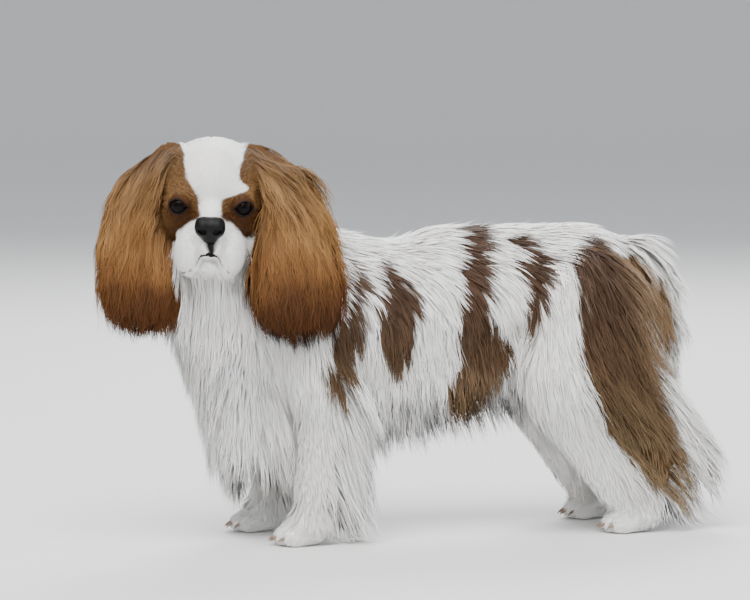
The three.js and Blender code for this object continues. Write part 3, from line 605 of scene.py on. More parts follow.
def shade_at(points, parts):
    """How pale or dark the chestnut is at points, 0 to 1: dark rust round the eyes, partly the coat's own
    and partly painted shade of the eye hollows, and down the cheeks, pale tan on the brows, over the tail's
    root and low on the flank. The near ear is a little darker low down, as painted shade."""
    shade = np.full(len(points), 0.5)
    x, y, z = points.T
    low_flank = smooth(196, 150, z) * smooth(150, 120, np.abs(x - 60)) * part_is(parts, "torso")
    tail_root = smooth(222, 256, x + 0.25 * (z - 250)) * smooth(150, 190, z)
    shade -= 0.42 * np.maximum(low_flank, tail_root)
    # The near ear's lower part is a little darker: painted shade.
    shade += 0.13 * part_is(parts, "ear_left") * smooth(315, 285, z)
    is_head = part_is(parts, "head")
    local = to_head(points[is_head])
    off_eye = np.min([np.where(local[:, 0] < 4, 60, off_almond(local, s)) for s in (LEFT, RIGHT)], axis=0)
    cheek = smooth(2, -12, local[:, 2]) * smooth(60, 30, np.abs(local[:, 1]))
    # Round the eyes the chestnut goes towards dark rust: partly the coat's own colour, partly painted shade
    # of the eye hollows.
    ring = 1 - smooth(1.5, 9, off_eye)
    brow = smooth(3, 9, local[:, 2]) * smooth(20, 12, local[:, 2]) * smooth(3, 7, off_eye)
    shade[is_head] += 0.08 + 0.42 * np.maximum(0.85 * ring, 0.9 * cheek) - 0.12 * brow * (1 - ring)
    return np.clip(shade, 0, 1)


def chestnut_at(points, parts):
    """The share of chestnut at points that belong to the numbered parts."""
    amount = body_chestnut(points)
    is_head = part_is(parts, "head")
    amount[is_head] = head_chestnut(points[is_head])
    amount[part_is(parts, "ear")] = 1.0
    amount[part_is(parts, "neck", "paw", "leg_front_right")] = 0
    shoulder = part_is(parts, "leg_front_left")
    amount[shoulder] *= smooth(138, 152, points[shoulder][:, 2])
    is_tail = part_is(parts, "tail")
    amount[is_tail] *= 0.9 * smooth(312, 300, points[is_tail][:, 0])
    return amount


def nearest_part(points):
    """The number of the part whose surface is nearest to each point."""
    return np.argmin([groups[name].distance(points) for name in PART_NAMES], axis=0)


# Materials

BLACK, WHITE = (0, 0, 0), (1, 1, 1)


class Finish:
    """A new material with its shader's roughness and specular level, and short ways to add nodes."""

    def __init__(self, name, roughness, specular=0.5):
        self.material = bpy.data.materials.new(name)
        self.material.use_nodes = True
        self.tree = self.material.node_tree
        self.shader = self.tree.nodes["Principled BSDF"]
        self.shader.inputs["Roughness"].default_value = roughness
        self.shader.inputs["Specular IOR Level"].default_value = specular

    def add(self, kind, inputs=None, **settings):
        """A node. Each of its inputs is linked where it is given a socket, and set otherwise."""
        node = self.tree.nodes.new(kind)
        for key, value in settings.items():
            setattr(node, key, value)
        for key, value in (inputs or {}).items():
            if isinstance(value, bpy.types.NodeSocket):
                self.tree.links.new(value, node.inputs[key])
            else:
                node.inputs[key].default_value = value
        return node

    def place(self):
        """The place on the piece, in metres."""
        return self.add("ShaderNodeTexCoord").outputs["Object"]

    def noise(self, at, scale, detail):
        """A cloudy noise, 0 to 1."""
        inputs = {"Vector": at, "Scale": scale, "Detail": detail}
        return self.add("ShaderNodeTexNoise", inputs).outputs["Fac"]

    def math(self, operation, *values):
        """A sum of one kind, from sockets or numbers."""
        return self.add("ShaderNodeMath", dict(enumerate(values)), operation=operation).outputs[0]

    def attribute(self, name):
        """The red, green, blue and alpha of an attribute."""
        node = self.add("ShaderNodeAttribute", attribute_name=name)
        parts = self.add("ShaderNodeSeparateColor", {"Color": node.outputs["Color"]})
        return *(parts.outputs[key] for key in ("Red", "Green", "Blue")), node.outputs["Alpha"]

    def ramp(self, factor, *stops):
        """A colour that goes through (place, colour) stops by a factor."""
        node = self.add("ShaderNodeValToRGB", {"Fac": factor})
        elements = node.color_ramp.elements
        while len(elements) < len(stops):
            elements.new(0.5)
        for element, (place, colour) in zip(elements, stops):
            element.position = place
            element.color = (*colour, 1)
        return node.outputs["Color"]

    def mix(self, factor, a, b, blend="MIX"):
        """Two colours, sockets or values, mixed by a factor."""
        a, b = (value if isinstance(value, bpy.types.NodeSocket) else (*value, 1) for value in (a, b))
        inputs = {0: factor, 6: a, 7: b}
        return self.add("ShaderNodeMix", inputs, data_type="RGBA", blend_type=blend).outputs[2]

    def tinted(self, colour, factor, *stops):
        """A colour times a ramp."""
        return self.mix(1.0, colour, self.ramp(factor, *stops), "MULTIPLY")

    def rising(self, factor, low, high):
        """0 under low and 1 over high, with an even climb between."""
        return self.ramp(factor, (low, BLACK), (high, WHITE))

    def bump(self, height, strength, distance, invert=False):
        """The surface raised by a height, as the light sees it."""
        inputs = {"Height": height, "Strength": strength, "Distance": distance}
        normal = self.add("ShaderNodeBump", inputs, invert=invert).outputs["Normal"]
        self.tree.links.new(normal, self.shader.inputs["Normal"])

    def painted(self, colour):
        """The material, with its base colour linked."""
        self.tree.links.new(colour, self.shader.inputs["Base Color"])
        return self.material


# White hair's root colour is darker than its tip's: painted shade deep in the coat.
WHITE_ROOT_SHADED, WHITE_TIP = (0.80, 0.78, 0.75), (0.92, 0.915, 0.905)
PALE_TAN, DARK_RUST = (0.34, 0.225, 0.130), (0.045, 0.015, 0.004)
BODY_SHADES = [
    (0.04, (0.26, 0.180, 0.100)),
    (0.10, (0.18, 0.118, 0.062)),
    (0.17, (0.110, 0.064, 0.034)),
    (0.24, (0.088, 0.050, 0.031)),
    # The top stop is the back's dark chestnut with a little more blue: a painted cool sheen.
    (0.32, (0.085, 0.050, 0.036)),
]
EAR_SHADES = [
    (0.19, (0.060, 0.021, 0.006)),
    (0.24, (0.115, 0.043, 0.011)),
    (0.275, (0.250, 0.113, 0.034)),
    (0.31, (0.330, 0.172, 0.060)),
    (0.345, (0.270, 0.145, 0.056)),
    (0.385, (0.190, 0.112, 0.052)),
]
HIGHEST_SHADE = 0.5


def shaded(fur, shade, brown):
    """A chestnut drawn towards pale tan where the shade is under a half, and towards dark rust where
    it is over."""
    tanned = fur.mix(fur.rising(shade, 0.0, 0.5), PALE_TAN, brown)
    return fur.mix(fur.rising(shade, 0.5, 1.0), tanned, DARK_RUST)


def coat_material(name, shades):
    """Hair: white or chestnut by the coat attribute's red. The chestnut goes through its shades by
    height in metres, and each strand's own by the alpha. Hair is darker at the root by the attribute's
    blue, as painted shade deep in the coat, and each strand is a little lighter or darker by its green."""
    hair = Finish(name, roughness=0.5, specular=0.12)
    chestnut, tone, along, shade = hair.attribute("coat")
    place = hair.place()
    patchy = hair.noise(place, 26.0, 3.0)
    height = hair.add("ShaderNodeSeparateXYZ", {"Vector": place}).outputs["Z"]
    level = hair.math("ADD", height, hair.math("MULTIPLY_ADD", patchy, 0.08, -0.04))
    level = hair.math("DIVIDE", level, HIGHEST_SHADE)
    brown = hair.ramp(level, *((z / HIGHEST_SHADE, colour) for z, colour in shades))
    brown = shaded(hair, shade, brown)
    # Darker towards the root, for brown and white hair alike: painted shade deep in the coat.
    brown = hair.tinted(brown, along, (0.0, (0.45, 0.40, 0.38)), (0.5, WHITE))
    brown = hair.tinted(brown, tone, (0.0, (0.40, 0.36, 0.32)), (0.5, (0.80, 0.78, 0.76)), (1.0, WHITE))
    white = hair.ramp(along, (0.0, WHITE_ROOT_SHADED), (0.45, WHITE_TIP))
    white = hair.tinted(white, tone, (0.0, (0.91, 0.90, 0.88)), (0.5, WHITE))
    white = hair.tinted(white, patchy, (0.3, (0.96, 0.94, 0.90)), (0.6, WHITE))
    hair.bump(hair.noise(place, 900.0, 2.0), 0.25, 0.0004)
    return hair.painted(hair.mix(chestnut, white, brown))


def skin_material():
    """Short fur over skin: the coat's colours, near black by the attribute's green on the lid rims,
    lips and under the nose, with a fine streaked bump."""
    fur = Finish("skin_short_fur", roughness=0.7, specular=0.06)
    chestnut, bare, _, shade = fur.attribute("coat")
    streaks = fur.noise(fur.place(), 420.0, 4.0)
    white = fur.ramp(streaks, (0.3, (0.82, 0.80, 0.77)), (0.7, (0.90, 0.89, 0.875)))
    brown = fur.ramp(streaks, (0.3, (0.075, 0.038, 0.018)), (0.7, (0.115, 0.058, 0.026)))
    colour = fur.mix(chestnut, white, shaded(fur, shade, brown))
    fur.bump(streaks, 0.5, 0.001)
    return fur.painted(fur.mix(fur.rising(bare, 0.35, 0.75), colour, (0.014, 0.012, 0.012)))


def nose_material():
    """Nose leather: near black, wet, with small pebbles."""
    leather = Finish("nose_leather", roughness=0.3, specular=0.14)
    inputs = {"Vector": leather.place(), "Scale": 950.0}
    pebbles = leather.add("ShaderNodeTexVoronoi", inputs).outputs["Distance"]
    leather.bump(pebbles, 0.5, 0.0006, invert=True)
    return leather.painted(leather.ramp(pebbles, (0.0, (0.009, 0.008, 0.009)), (0.7, (0.003,) * 3)))


def eye_material():
    """An eye: a black pupil, a very dark brown iris with fine rays, and a dark white at its edge, by
    the look attribute's red, the angle off the eye's own direction over a right angle."""
    eye = Finish("eye_dark", roughness=0.04, specular=0.08)
    look = eye.add("ShaderNodeAttribute", attribute_name="look")
    angle = eye.add("ShaderNodeSeparateColor", {"Color": look.outputs["Color"]}).outputs["Red"]
    rays = eye.noise(look.outputs["Vector"], 30.0, 2.0)
    iris = eye.ramp(rays, (0.3, (0.004, 0.002, 0.0015)), (0.7, (0.012, 0.005, 0.003)))
    colour = eye.mix(eye.rising(angle, 0.24, 0.30), (0.002, 0.002, 0.002), iris)
    return eye.painted(eye.mix(eye.rising(angle, 0.60, 0.70), colour, (0.020, 0.014, 0.012)))


def plain_material(name, roughness, scale, low, high):
    """One finish all over, with a fine grain between two colours: the claws' horn and the floor."""
    grained = Finish(name, roughness)
    grain = grained.noise(grained.place(), scale, 3.0)
    return grained.painted(grained.ramp(grain, (0.3, low), (0.7, high)))


body_coat = coat_material("coat_body", BODY_SHADES)
head_coat = coat_material("coat_head", EAR_SHADES)

# The skin


def fur_free(points):
    """Where the head is bare: 1 on the lid rims, the lips' edge, the philtrum and beside the nose, 0
    elsewhere."""
    local = to_head(points)
    bare = np.zeros(len(points))
    for s in (LEFT, RIGHT):
        off = np.where(local[:, 0] < 30, 30, off_almond(local, s))
        bare = np.maximum(bare, 1 - smooth(0.9, 2.4, off))
    middle = 1 - 0.66 * smooth(6, 17, np.abs(local[:, 1]))
    bare = np.maximum(bare, middle * (1 - smooth(1.4, 2.8, off_line(local, MOUTH_LINE))))
    half = 4 + 7 * smooth(-47, -29, local[:, 2])
    under_nose = (local[:, 0] > 60) & (local[:, 2] > -47) & (local[:, 2] < -20)
    off_middle = np.abs(local[:, 1] - 1.5) + 0.8 * ragged(points, 6, 8)
    return np.maximum(bare, 0.78 * under_nose * (1 - smooth(0.1 * half, 1.35 * half, off_middle)))


FINE, MIDDLE, COARSE = ((1.15, 3.0, 4.0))
skin_lines = [
    stretches(-280, [(-222, MIDDLE), (-128, FINE), (330, COARSE)]),
    stretches(-112, [(-86, MIDDLE), (-44, FINE), (-4, MIDDLE), (84, COARSE)]),
    stretches(-6, [(20, MIDDLE), (268, COARSE), (360, FINE), (410, MIDDLE)]),
]
skin_points, skin_quads = net_of(skin_form.distance, skin_lines)
skin_parts = nearest_part(skin_points)
skin_points[:, 2] = np.maximum(skin_points[:, 2], FLOOR_GAP)
skin_looks = np.column_stack(
    [
        chestnut_at(skin_points, skin_parts),
        fur_free(skin_points),
        np.zeros(len(skin_points)),
        shade_at(skin_points, skin_parts),
    ]
)
skin = mesh_piece("skin", placed(skin_points), skin_quads, skin_material(), {"coat": skin_looks})


def unwrapped(piece):
    """The place of each face's corners on an unwrap of the piece."""
    bpy.context.view_layer.objects.active = piece
    piece.select_set(True)
    bpy.ops.object.mode_set(mode="EDIT")
    bpy.ops.mesh.select_all(action="SELECT")
    bpy.ops.uv.smart_project(angle_limit=1.2, island_margin=0.002)
    bpy.ops.object.mode_set(mode="OBJECT")
    places = np.empty(2 * len(piece.data.loops), np.float32)
    piece.data.uv_layers.active.data.foreach_get("uv", places)
    return places.reshape(-1, 4, 2)


skin_map = unwrapped(skin)

# Hair

HABITS = [(name, float) for name in ("length", "width", "lift", "loft", "pinch", "wave", "cling")]
ROOT_DEPTH = 0.8


class Roots:
    """Places on the skin where hair grows: where, the way out, part number and place on the map."""

    def __init__(self, count, weight):
        a, b, c, d = (skin_points[skin_quads[:, k]] for k in range(4))
        area = 0.5 * np.linalg.norm(np.cross(c - a, d - b), axis=1)
        middle = (a + b + c + d) / 4
        chance = area * weight(middle, nearest_of_face)
        faces = rng.choice(len(skin_quads), count, p=chance / chance.sum())
        u, v = rng.random((2, count, 1))
        corners = skin_points[skin_quads[faces]]
        self.at = self.blend(corners, u, v)
        self.map = self.blend(skin_map[faces].astype(float), u, v)
        self.out = unit(slope_of(skin_form.distance, self.at, 1.5))
        self.part = nearest_of_face[faces]

    @staticmethod
    def blend(corners, u, v):
        """A place in a four-sided face: its corners weighted by (1-u)(1-v), u(1-v), uv and (1-u)v."""
        a, b, c, d = (corners[:, k] for k in range(4))
        return a * (1 - u) * (1 - v) + b * u * (1 - v) + c * u * v + d * (1 - u) * v


nearest_of_face = nearest_part(skin_points[skin_quads].mean(axis=1))


def growth(at, out, parts):
    """The lie of the hair and its habits at each root: length and width, lift off the skin, loft over
    it at the tip, pinch of a lock's tips, height of its wave and how it clings, in millimetres."""
    x, y, z = at.T
    lie = np.zeros((len(at), 3))
    habits = np.zeros(len(at), HABITS)

    def give(rows, direction, **values):
        lie[rows] = np.stack(np.broadcast_arrays(*direction, x[rows]), axis=-1)[:, :3]
        for name, value in values.items():
            habits[name][rows] = value

    m = part_is(parts, "torso")
    low = smooth(286, 220, z[m])
    under = smooth(190, 140, z[m])
    breast = smooth(-120, -160, x[m])
    ruff = breast * smooth(150, 190, z[m])
    give(
        m,
        (1 - 0.72 * low - 0.7 * breast, 0.004 * y[m], -0.12 - 0.95 * low - 0.4 * breast),
        length=34 + 14 * low + 28 * under * (1 - breast) + 24 * under * breast,
        width=1.3,
        lift=0.07 + 0.1 * under + 0.2 * ruff,
        loft=3 + 3 * low + 13 * ruff,
        pinch=0.12,
        wave=0.9 + 1.3 * low,
        cling=0.8 * (1 - under) * (1 - breast),
    )
    m = part_is(parts, "neck")
    front = smooth(-110, -160, x[m])
    throat = smooth(250, 300, z[m])
    give(
        m,
        (0.75 - 0.8 * front, 0.003 * y[m], -0.8),
        length=46 - 16 * front * throat,
        width=1.15,
        lift=0.08,
        loft=6 - 3 * front * throat + 8 * front * (1 - throat),
        pinch=0.12,
        wave=1.5,
        cling=throat,
    )
    m = part_is(parts, "leg_front")
    behind = smooth(0.0, 0.6, out[m, 0]) * smooth(24, 50, z[m])
    high = smooth(110, 190, z[m])
    give(
        m,
        (0.1 + 0.65 * behind, 0.0, -1.0),
        length=16 + 68 * behind * (1 - 0.4 * high) + 28 * high,
        width=1.0,
        lift=0.1 + 0.34 * behind,
        loft=4 + 9 * behind + 3 * high,
        pinch=0.16,
        wave=0.8 + 2.4 * behind,
        cling=0.8 - 0.8 * behind,
    )
    m = part_is(parts, "leg_hind")
    behind = smooth(-0.2, 0.5, out[m, 0]) * smooth(24, 50, z[m])
    high = smooth(90, 150, z[m])
    breeches = behind * smooth(70, 110, z[m]) * smooth(190, 150, z[m])
    give(
        m,
        (0.3 + (0.7 + 0.5 * (1 - high)) * behind + 0.9 * breeches, 0.0, -1.0),
        length=18 + 56 * behind * (1 - 0.3 * high) + 22 * high,
        width=1.05,
        lift=0.1 + 0.4 * behind,
        loft=3 + 8 * behind + 3 * high,
        pinch=0.16,
        wave=1.0 + 3.0 * behind,
        cling=0.8 - 0.8 * behind,
    )
    m = part_is(parts, "paw")
    give(m, (-0.9, 0, -0.6), length=8, width=0.9, lift=0.12, loft=1.6, pinch=0.3, wave=0.3, cling=0.8)
    m = part_is(parts, "tail")
    out_of_middle = 0.008 * y[m]
    give(m, (0.6, out_of_middle, -1), length=62, width=1.3, lift=0.34, loft=13, pinch=0.3, wave=2.6)
    m = part_is(parts, "ear")
    hanging = smooth(350, 300, z[m])
    outward = np.where(part_is(parts[m], "ear_left"), 1, -1)
    hem = smooth(300, 224, z[m])
    give(
        m,
        (outward * (0.75 - 0.65 * hanging), -0.2 + 0.2 * hanging, -1.0),
        length=66 + 16 * hanging - 42 * hem,
        width=0.98,
        lift=0.07,
        loft=4 + 4 * hanging,
        pinch=0.40,
        wave=3.3,
        cling=0.7,
    )
    m = part_is(parts, "head")
    hx, hy, hz = to_head(at[m]).T
    muzzle = smooth(30, 55, hx)
    crown = smooth(14, -10, hx)
    temple = smooth(24, 40, np.abs(hy)) * smooth(26, 6, hx)
    sweep = temple * smooth(0, 22, hz)
    away = np.sign(hy) * (0.25 * np.minimum(np.abs(hy) / 12, 1) + 1.0 * temple)
    rise = np.where(hz > -8, 0.35, -0.75) * (1 - crown) - 0.7 * temple
    lipped = smooth(1.5, 9, off_line(to_head(at[m]), MOUTH_LINE))
    give(
        m,
        (np.stack([-1 + 0.7 * temple, away, rise], axis=1) @ HEAD_AXES.T).T,
        length=(7.0 - 2.6 * muzzle + 7 * crown + 12 * temple - 10 * sweep) * (0.4 + 0.6 * lipped),
        width=0.62 + 0.25 * crown + 0.25 * temple,
        lift=0.1,
        loft=1.2 + 0.7 * crown + 1.2 * temple - 0.8 * sweep,
        pinch=0.25,
        wave=0.25,
        cling=0.9,
    )
    return lie, habits


STEPS = 8
GRAVITY = 0.10
HIGHEST_PUSH = 6
WAVE_LENGTH = 46
STRAYS = 0.05
DRIFT, STRAY_DRIFT = 0.024, 0.10
OWN_SHADING = 0.38
LOWEST_SHADING = -0.1
UP = np.array([0, 0, 1.0])


def guide_paths(at, out, lie, habits):
    """The run of each lock: equal steps that start along the lie, lifted a little off the skin, turn
    towards the floor by GRAVITY a step, and are pushed out to a height over the skin that climbs to the
    loft at the tip. One that clings is drawn back down to it too."""
    along = unit(lie - np.einsum("ij,ij->i", lie, out)[:, None] * out * 0.85)
    heading = unit(along + habits["lift"][:, None] * out)
    place = at - out * ROOT_DEPTH
    run = [place]
    step = (habits["length"] / STEPS)[:, None]
    pull = GRAVITY * np.clip(habits["length"] / 50, 0.2, 1.4)[:, None]
    for k in range(1, STEPS + 1):
        heading = unit(heading - pull * UP)
        place = place + step * heading
        slope = slope_of(skin_form.distance, place, 1.5)
        short = habits["loft"] * (k / STEPS) ** 0.8 - skin_form.distance(place)
        place = place + unit(slope) * np.clip(short, -2.5 * habits["cling"], HIGHEST_PUSH)[:, None]
        place[:, 2] = np.maximum(place[:, 2], FLOOR_GAP + 1.8)
        heading = unit(0.6 * heading + 0.4 * unit(place - run[-1]))
        run.append(place)
    return np.stack(run, axis=1)


def nearest_guides(roots, guides):
    """For each root, the number of the nearest guide, from the least |a|^2 - 2 a.b."""
    best = []
    sizes = np.einsum("ij,ij->i", guides, guides)
    for part in np.array_split(roots, max(1, len(roots) // 2000)):
        best.append(np.argmin(sizes[None] - 2 * part @ guides.T, axis=1))
    return np.concatenate(best)


def at_share(runs, share):
    """Places along runs of equal steps, at shares of their length, between the two nearest steps."""
    place = np.clip(share * (runs.shape[1] - 1), 0, runs.shape[1] - 1.001)
    low = place.astype(int)
    part = (place - low)[..., None]
    rows = np.arange(len(runs))[:, None]
    return runs[rows, low] * (1 - part) + runs[rows, low + 1] * part


low_corner = np.array(cad_box[0]) * MM - SHIFT + 1.2
high_corner = np.array(cad_box[1]) * MM - SHIFT - 1.2


def within_box(points):
    """Points kept inside the solids' box."""
    return np.clip(points, low_corner, high_corner)


def hair_paths(roots, guides, lie, habits, sections):
    """Where each hair runs: beside the nearest guide, at its own share of the guide's length, closer to
    it towards the tip by the pinch, with the lock's wave across and a small drift of its own. A few
    stray further. Returns the paths, which hairs stray, and the number of each hair's guide."""
    count = len(roots.at)
    runs = guide_paths(roots.at[guides], roots.out[guides], lie[guides], habits[guides])
    mine = nearest_guides(roots.at, roots.at[guides])
    path = at_share(runs[mine], np.linspace(0, 1, sections) * rng.uniform(0.72, 1.0, (count, 1)))
    t = np.linspace(0, 1, sections)[None, :, None]
    length, pinch, wave = (habits[name][:, None, None] for name in ("length", "pinch", "wave"))
    offset = (roots.at - roots.out * ROOT_DEPTH - runs[mine][:, 0])[:, None]
    path = path + offset * (1 - pinch * t**0.8)
    across = unit(np.cross(runs[:, -1] - runs[:, 0], roots.out[guides]))[mine][:, None]
    phase = rng.uniform(0, 2 * math.pi, len(guides))[mine][:, None, None]
    own_phase = rng.normal(size=(count, 1, 1)) * 0.5
    turns = (length / WAVE_LENGTH) * 2 * math.pi
    path = path + across * (wave * t * np.sin(turns * t + phase + own_phase))
    stray = rng.random((count, 1, 1)) < STRAYS
    drift = (DRIFT + STRAY_DRIFT * stray) * length
    path = path + rng.normal(size=(count, 1, 3)) * drift * t**1.4
    return within_box(path), stray, mine


def tubes(path, out, width):
    """A tube of three sides along each path, flat underneath, its width times 1 - t^2.2. Gives its
    points, ring by ring and then the tip, and the direction each is shaded by: a little of its own
    way out of the tube, the root's way out of the skin, and up. Hair that hangs free of the skin
    has less of the root's and more of the others, as light goes round it."""
    count, sections = path.shape[:2]
    forward = unit(np.gradient(path, axis=1))
    side = unit(np.cross(forward, out[:, None]))
    face = np.cross(side, forward)
    width = width * (1 - np.linspace(0, 1, sections) ** 2.2)[None, :, None]
    rings = np.stack([path + side * width / 2, path + face * width * 0.35, path - side * width / 2], axis=2)
    points = np.concatenate([rings[:, :-1].reshape(count, -1, 3), path[:, -1:]], axis=1)
    own = np.stack([side, face, -side], axis=2)[:, :-1].reshape(count, -1, 3)
    own = np.concatenate([own, face[:, -1:]], axis=1)
    free = smooth(5, 16, skin_form.distance(path.reshape(-1, 3))).reshape(count, sections)
    free = np.concatenate([np.repeat(free[:, :-1], 3, axis=1), free[:, -1:]], axis=1)[..., None]
    facing = out.copy()
    facing[:, 2] = np.maximum(facing[:, 2], LOWEST_SHADING)
    ways = own * OWN_SHADING * (1 + free) + facing[:, None] * (1 - 0.8 * free)
    return points, unit(ways + UP * (0.2 + 0.4 * free))


def tube_faces(sections):
    """The triangles of one tube: a cap at the root, two on each side between two rings, and one on
    each side from the last ring to the tip."""
    tip = 3 * (sections - 1)
    faces = [[0, 1, 2]]
    for ring in range(sections - 1):
        for k in range(3):
            a, b = ring * 3 + k, ring * 3 + (k + 1) % 3
            faces += [[b, a, tip]] if ring == sections - 2 else [[b, a, a + 3], [b, a + 3, b + 3]]
    return np.array(faces)


def hair_looks(roots, path, mine, locks):
    """Each hair's chestnut, tone and shade: the markings where most of it shows, and a tone that is
    half its lock's and half its own."""
    count = len(path)
    visible = at_share(path, np.full((count, 1), 0.45))[:, 0]
    chestnut = chestnut_at(visible * 0.6 + roots.at * 0.4, roots.part)
    chestnut = smooth(0.15, 0.85, chestnut + rng.normal(size=count) * 0.06)
    tone = np.clip(rng.normal(0.25, 0.14, locks)[mine] + rng.normal(0.25, 0.13, count), 0, 1)
    return chestnut, tone, shade_at(visible * 0.3 + roots.at * 0.7, roots.part)


def coat(name, count, per_lock, sections, material, weight):
    """A piece of coat: hairs from roots drawn by weight, of which one in per_lock leads a lock, each a
    tapered tube. Its map is a patch PATCH_SIZE across at the root's place on the skin's unwrap."""
    roots = Roots(count, weight)
    guides = rng.permutation(count)[: count // per_lock]
    lie, habits = growth(roots.at, roots.out, roots.part)
    lie = lie + rng.normal(size=lie.shape) * 0.055
    habits["length"] *= rng.uniform(0.8, 1.12, count)
    path, stray, mine = hair_paths(roots, guides, lie, habits, sections)
    width = habits["width"][:, None, None] * rng.uniform(0.6, 1.25, (count, 1, 1)) * (1 - 0.45 * stray)
    points, ways = tubes(path, roots.out, width)
    per_hair = points.shape[1]
    faces = tube_faces(sections)[None] + per_hair * np.arange(count)[:, None, None]
    faces = faces.reshape(-1, 3)

    chestnut, tone, shade = (np.repeat(v, per_hair) for v in hair_looks(roots, path, mine, len(guides)))
    along = np.append(np.repeat(np.linspace(0, 1, sections)[:-1], 3), 1.0)
    looks = np.column_stack([chestnut, tone, np.tile(along, count), shade])
    patch = np.stack([along, np.append(np.tile([0, 0.5, 1], sections - 1), 0.5)], axis=1) - 0.5
    spots = (roots.map[:, None] + PATCH_SIZE * patch[None]).reshape(-1, 2)
    places = placed(points.reshape(-1, 3))
    uv = spots[faces].reshape(-1, 2)
    piece = mesh_piece(name, places, faces, material, {"coat": looks}, uv, ways.reshape(-1, 3))
    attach(piece, "root")
    return piece


PATCH_SIZE = 0.003


def only(*starts, extra=None):
    """A weight for roots: 1 on the named parts, times an extra weight from the place."""

    def weight(places, parts):
        value = part_is(parts, *starts).astype(float)
        return value if extra is None else value * extra(places)

    return weight


def face_weight(places):
    """Hair on the head: finer and closer to the front, none in the eyes, on bare edges or the nose."""
    local = to_head(places)
    bare = fur_free(places) > 0.3
    eyes = np.min([off_almond(local, s) for s in (LEFT, RIGHT)], axis=0) < 1.5
    nosed = np.linalg.norm((local - [77, 0, -21]) / [12, 16, 14], axis=1) < 1
    return (1.0 + 1.4 * smooth(0, 30, local[:, 0])) * ~(bare | (eyes & (local[:, 0] > 30)) | nosed)


def on_side(s):
    """A weight of 1 on one side of the middle plane and 0 on the other."""
    return lambda places: ((places[:, 1] < 0) == (s == LEFT)) * 1.0


coats = [
    coat("coat_head", 15500, 2, 3, head_coat, only("head", extra=face_weight)),
    coat("coat_ear_left", 5500, 9, 7, head_coat, only("ear_left")),
    coat("coat_ear_right", 4800, 9, 7, head_coat, only("ear_right")),
    coat("coat_neck", 7000, 9, 4, body_coat, only("neck")),
    coat("coat_torso_left", 12200, 9, 4, body_coat, only("torso", extra=on_side(LEFT))),
    coat("coat_torso_right", 12200, 9, 4, body_coat, only("torso", extra=on_side(RIGHT))),
    coat("coat_leg_front_left", 4800, 7, 4, body_coat, only("leg_front_left")),
    coat("coat_leg_front_right", 4800, 7, 4, body_coat, only("leg_front_right")),
    coat("coat_leg_hind_left", 7600, 7, 4, body_coat, only("leg_hind_left")),
    coat("coat_leg_hind_right", 6600, 7, 4, body_coat, only("leg_hind_right")),
    coat("coat_paws", 4000, 2, 3, body_coat, only("paw")),
    coat("coat_tail", 3800, 7, 5, body_coat, only("tail")),
]
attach(skin, "root")
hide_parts(*[name for name in PART_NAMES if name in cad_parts])

# Eyes, nose and claws


def eyeball(s):
    """An eye: a ball whose front bulges by a cornea, its radius R (1 + CORNEA (1 - (a / 0.7)^2)) where
    a, the angle off its direction, is under 0.7."""
    u = np.linspace(0, 2 * math.pi, 49)[:-1]
    a = np.linspace(0, math.pi, 33)
    turn = EYE_TURN * s
    ahead = HEAD_AXES @ np.array([math.cos(turn), math.sin(turn), 0])
    side = unit(np.cross(UP, ahead))
    up = np.cross(ahead, side)
    radius = EYE_RADIUS * (1 + CORNEA * np.clip(1 - (a / 0.7) ** 2, 0, 1))
    ring = np.sin(a)[:, None, None] * (np.cos(u)[None, :, None] * side + np.sin(u)[None, :, None] * up)
    points = radius[:, None, None] * (np.cos(a)[:, None, None] * ahead + ring) + in_head(*eye_place(s))
    turns = np.tile(np.stack([np.cos(u), np.sin(u)], axis=1) * 0.5, (len(a), 1))
    looks = np.column_stack([np.repeat(a / (math.pi / 2), len(u)), turns])
    return points.reshape(-1, 3), grid_faces(len(a), len(u), wrap=True), looks


CORNEA = 0.05
eye_dark = eye_material()
for side, s in SIDES.items():
    points, faces, looks = eyeball(s)
    eye = mesh_piece("eyeball_" + side, placed(points), faces, eye_dark, {"look": looks})
    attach(eye, "root")
    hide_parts("eye_" + side)

nose_forms = melted(
    [
        egg((75, 0, -18), (9, 12, 10)),
        *(egg((76, s * 7.5, -18), (8.5, 7, 8)) for s in (RIGHT, LEFT)),
        *(egg((74, s * 6.5, -12.5), (7.5, 7, 5)) for s in (RIGHT, LEFT)),
        egg((73, 0, -27), (8, 8, 6)),
    ],
    1.5,
)
NOSE_GROOVE = np.array([(86, 0, -20), (83, 0, -30), (80, 0, -38)], float)


def nose_distance(points):
    """The nose with a comma-shaped nostril on each side and a groove down its middle."""
    d = nose_forms.distance(points)
    for s in (LEFT, RIGHT):
        nostril = limb((83.5, -s * 6, -20.5), (81, -s * 11.5, -18), 2.9, 2.2)
        slit = limb((81, -s * 11.5, -18), (74, -s * 16, -22), 2.0, 1.0)
        d = np.maximum(d, -nostril.distance(points))
        d = np.maximum(d, -slit.distance(points))
    return np.maximum(d, 0.8 - off_line(points, NOSE_GROOVE))


nose_lines = [stretches(low, [(high, 0.7)]) for low, high in ((60, 92), (-20, 20), (-42, -4))]
nose_points, nose_quads = net_of(nose_distance, nose_lines)
nose_places = placed(nose_points @ HEAD_AXES.T + HEAD_CENTRE)
nose = mesh_piece("nose_leather", nose_places, nose_quads, nose_material())
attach(nose, "root")
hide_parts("nose")

CLAW_RADIUS, CLAW_REACH, CLAW_DROP, CLAW_TURN = 1.9, 9, 7, 1.3
CLAW_RINGS, CLAW_SIDES = 9, 12


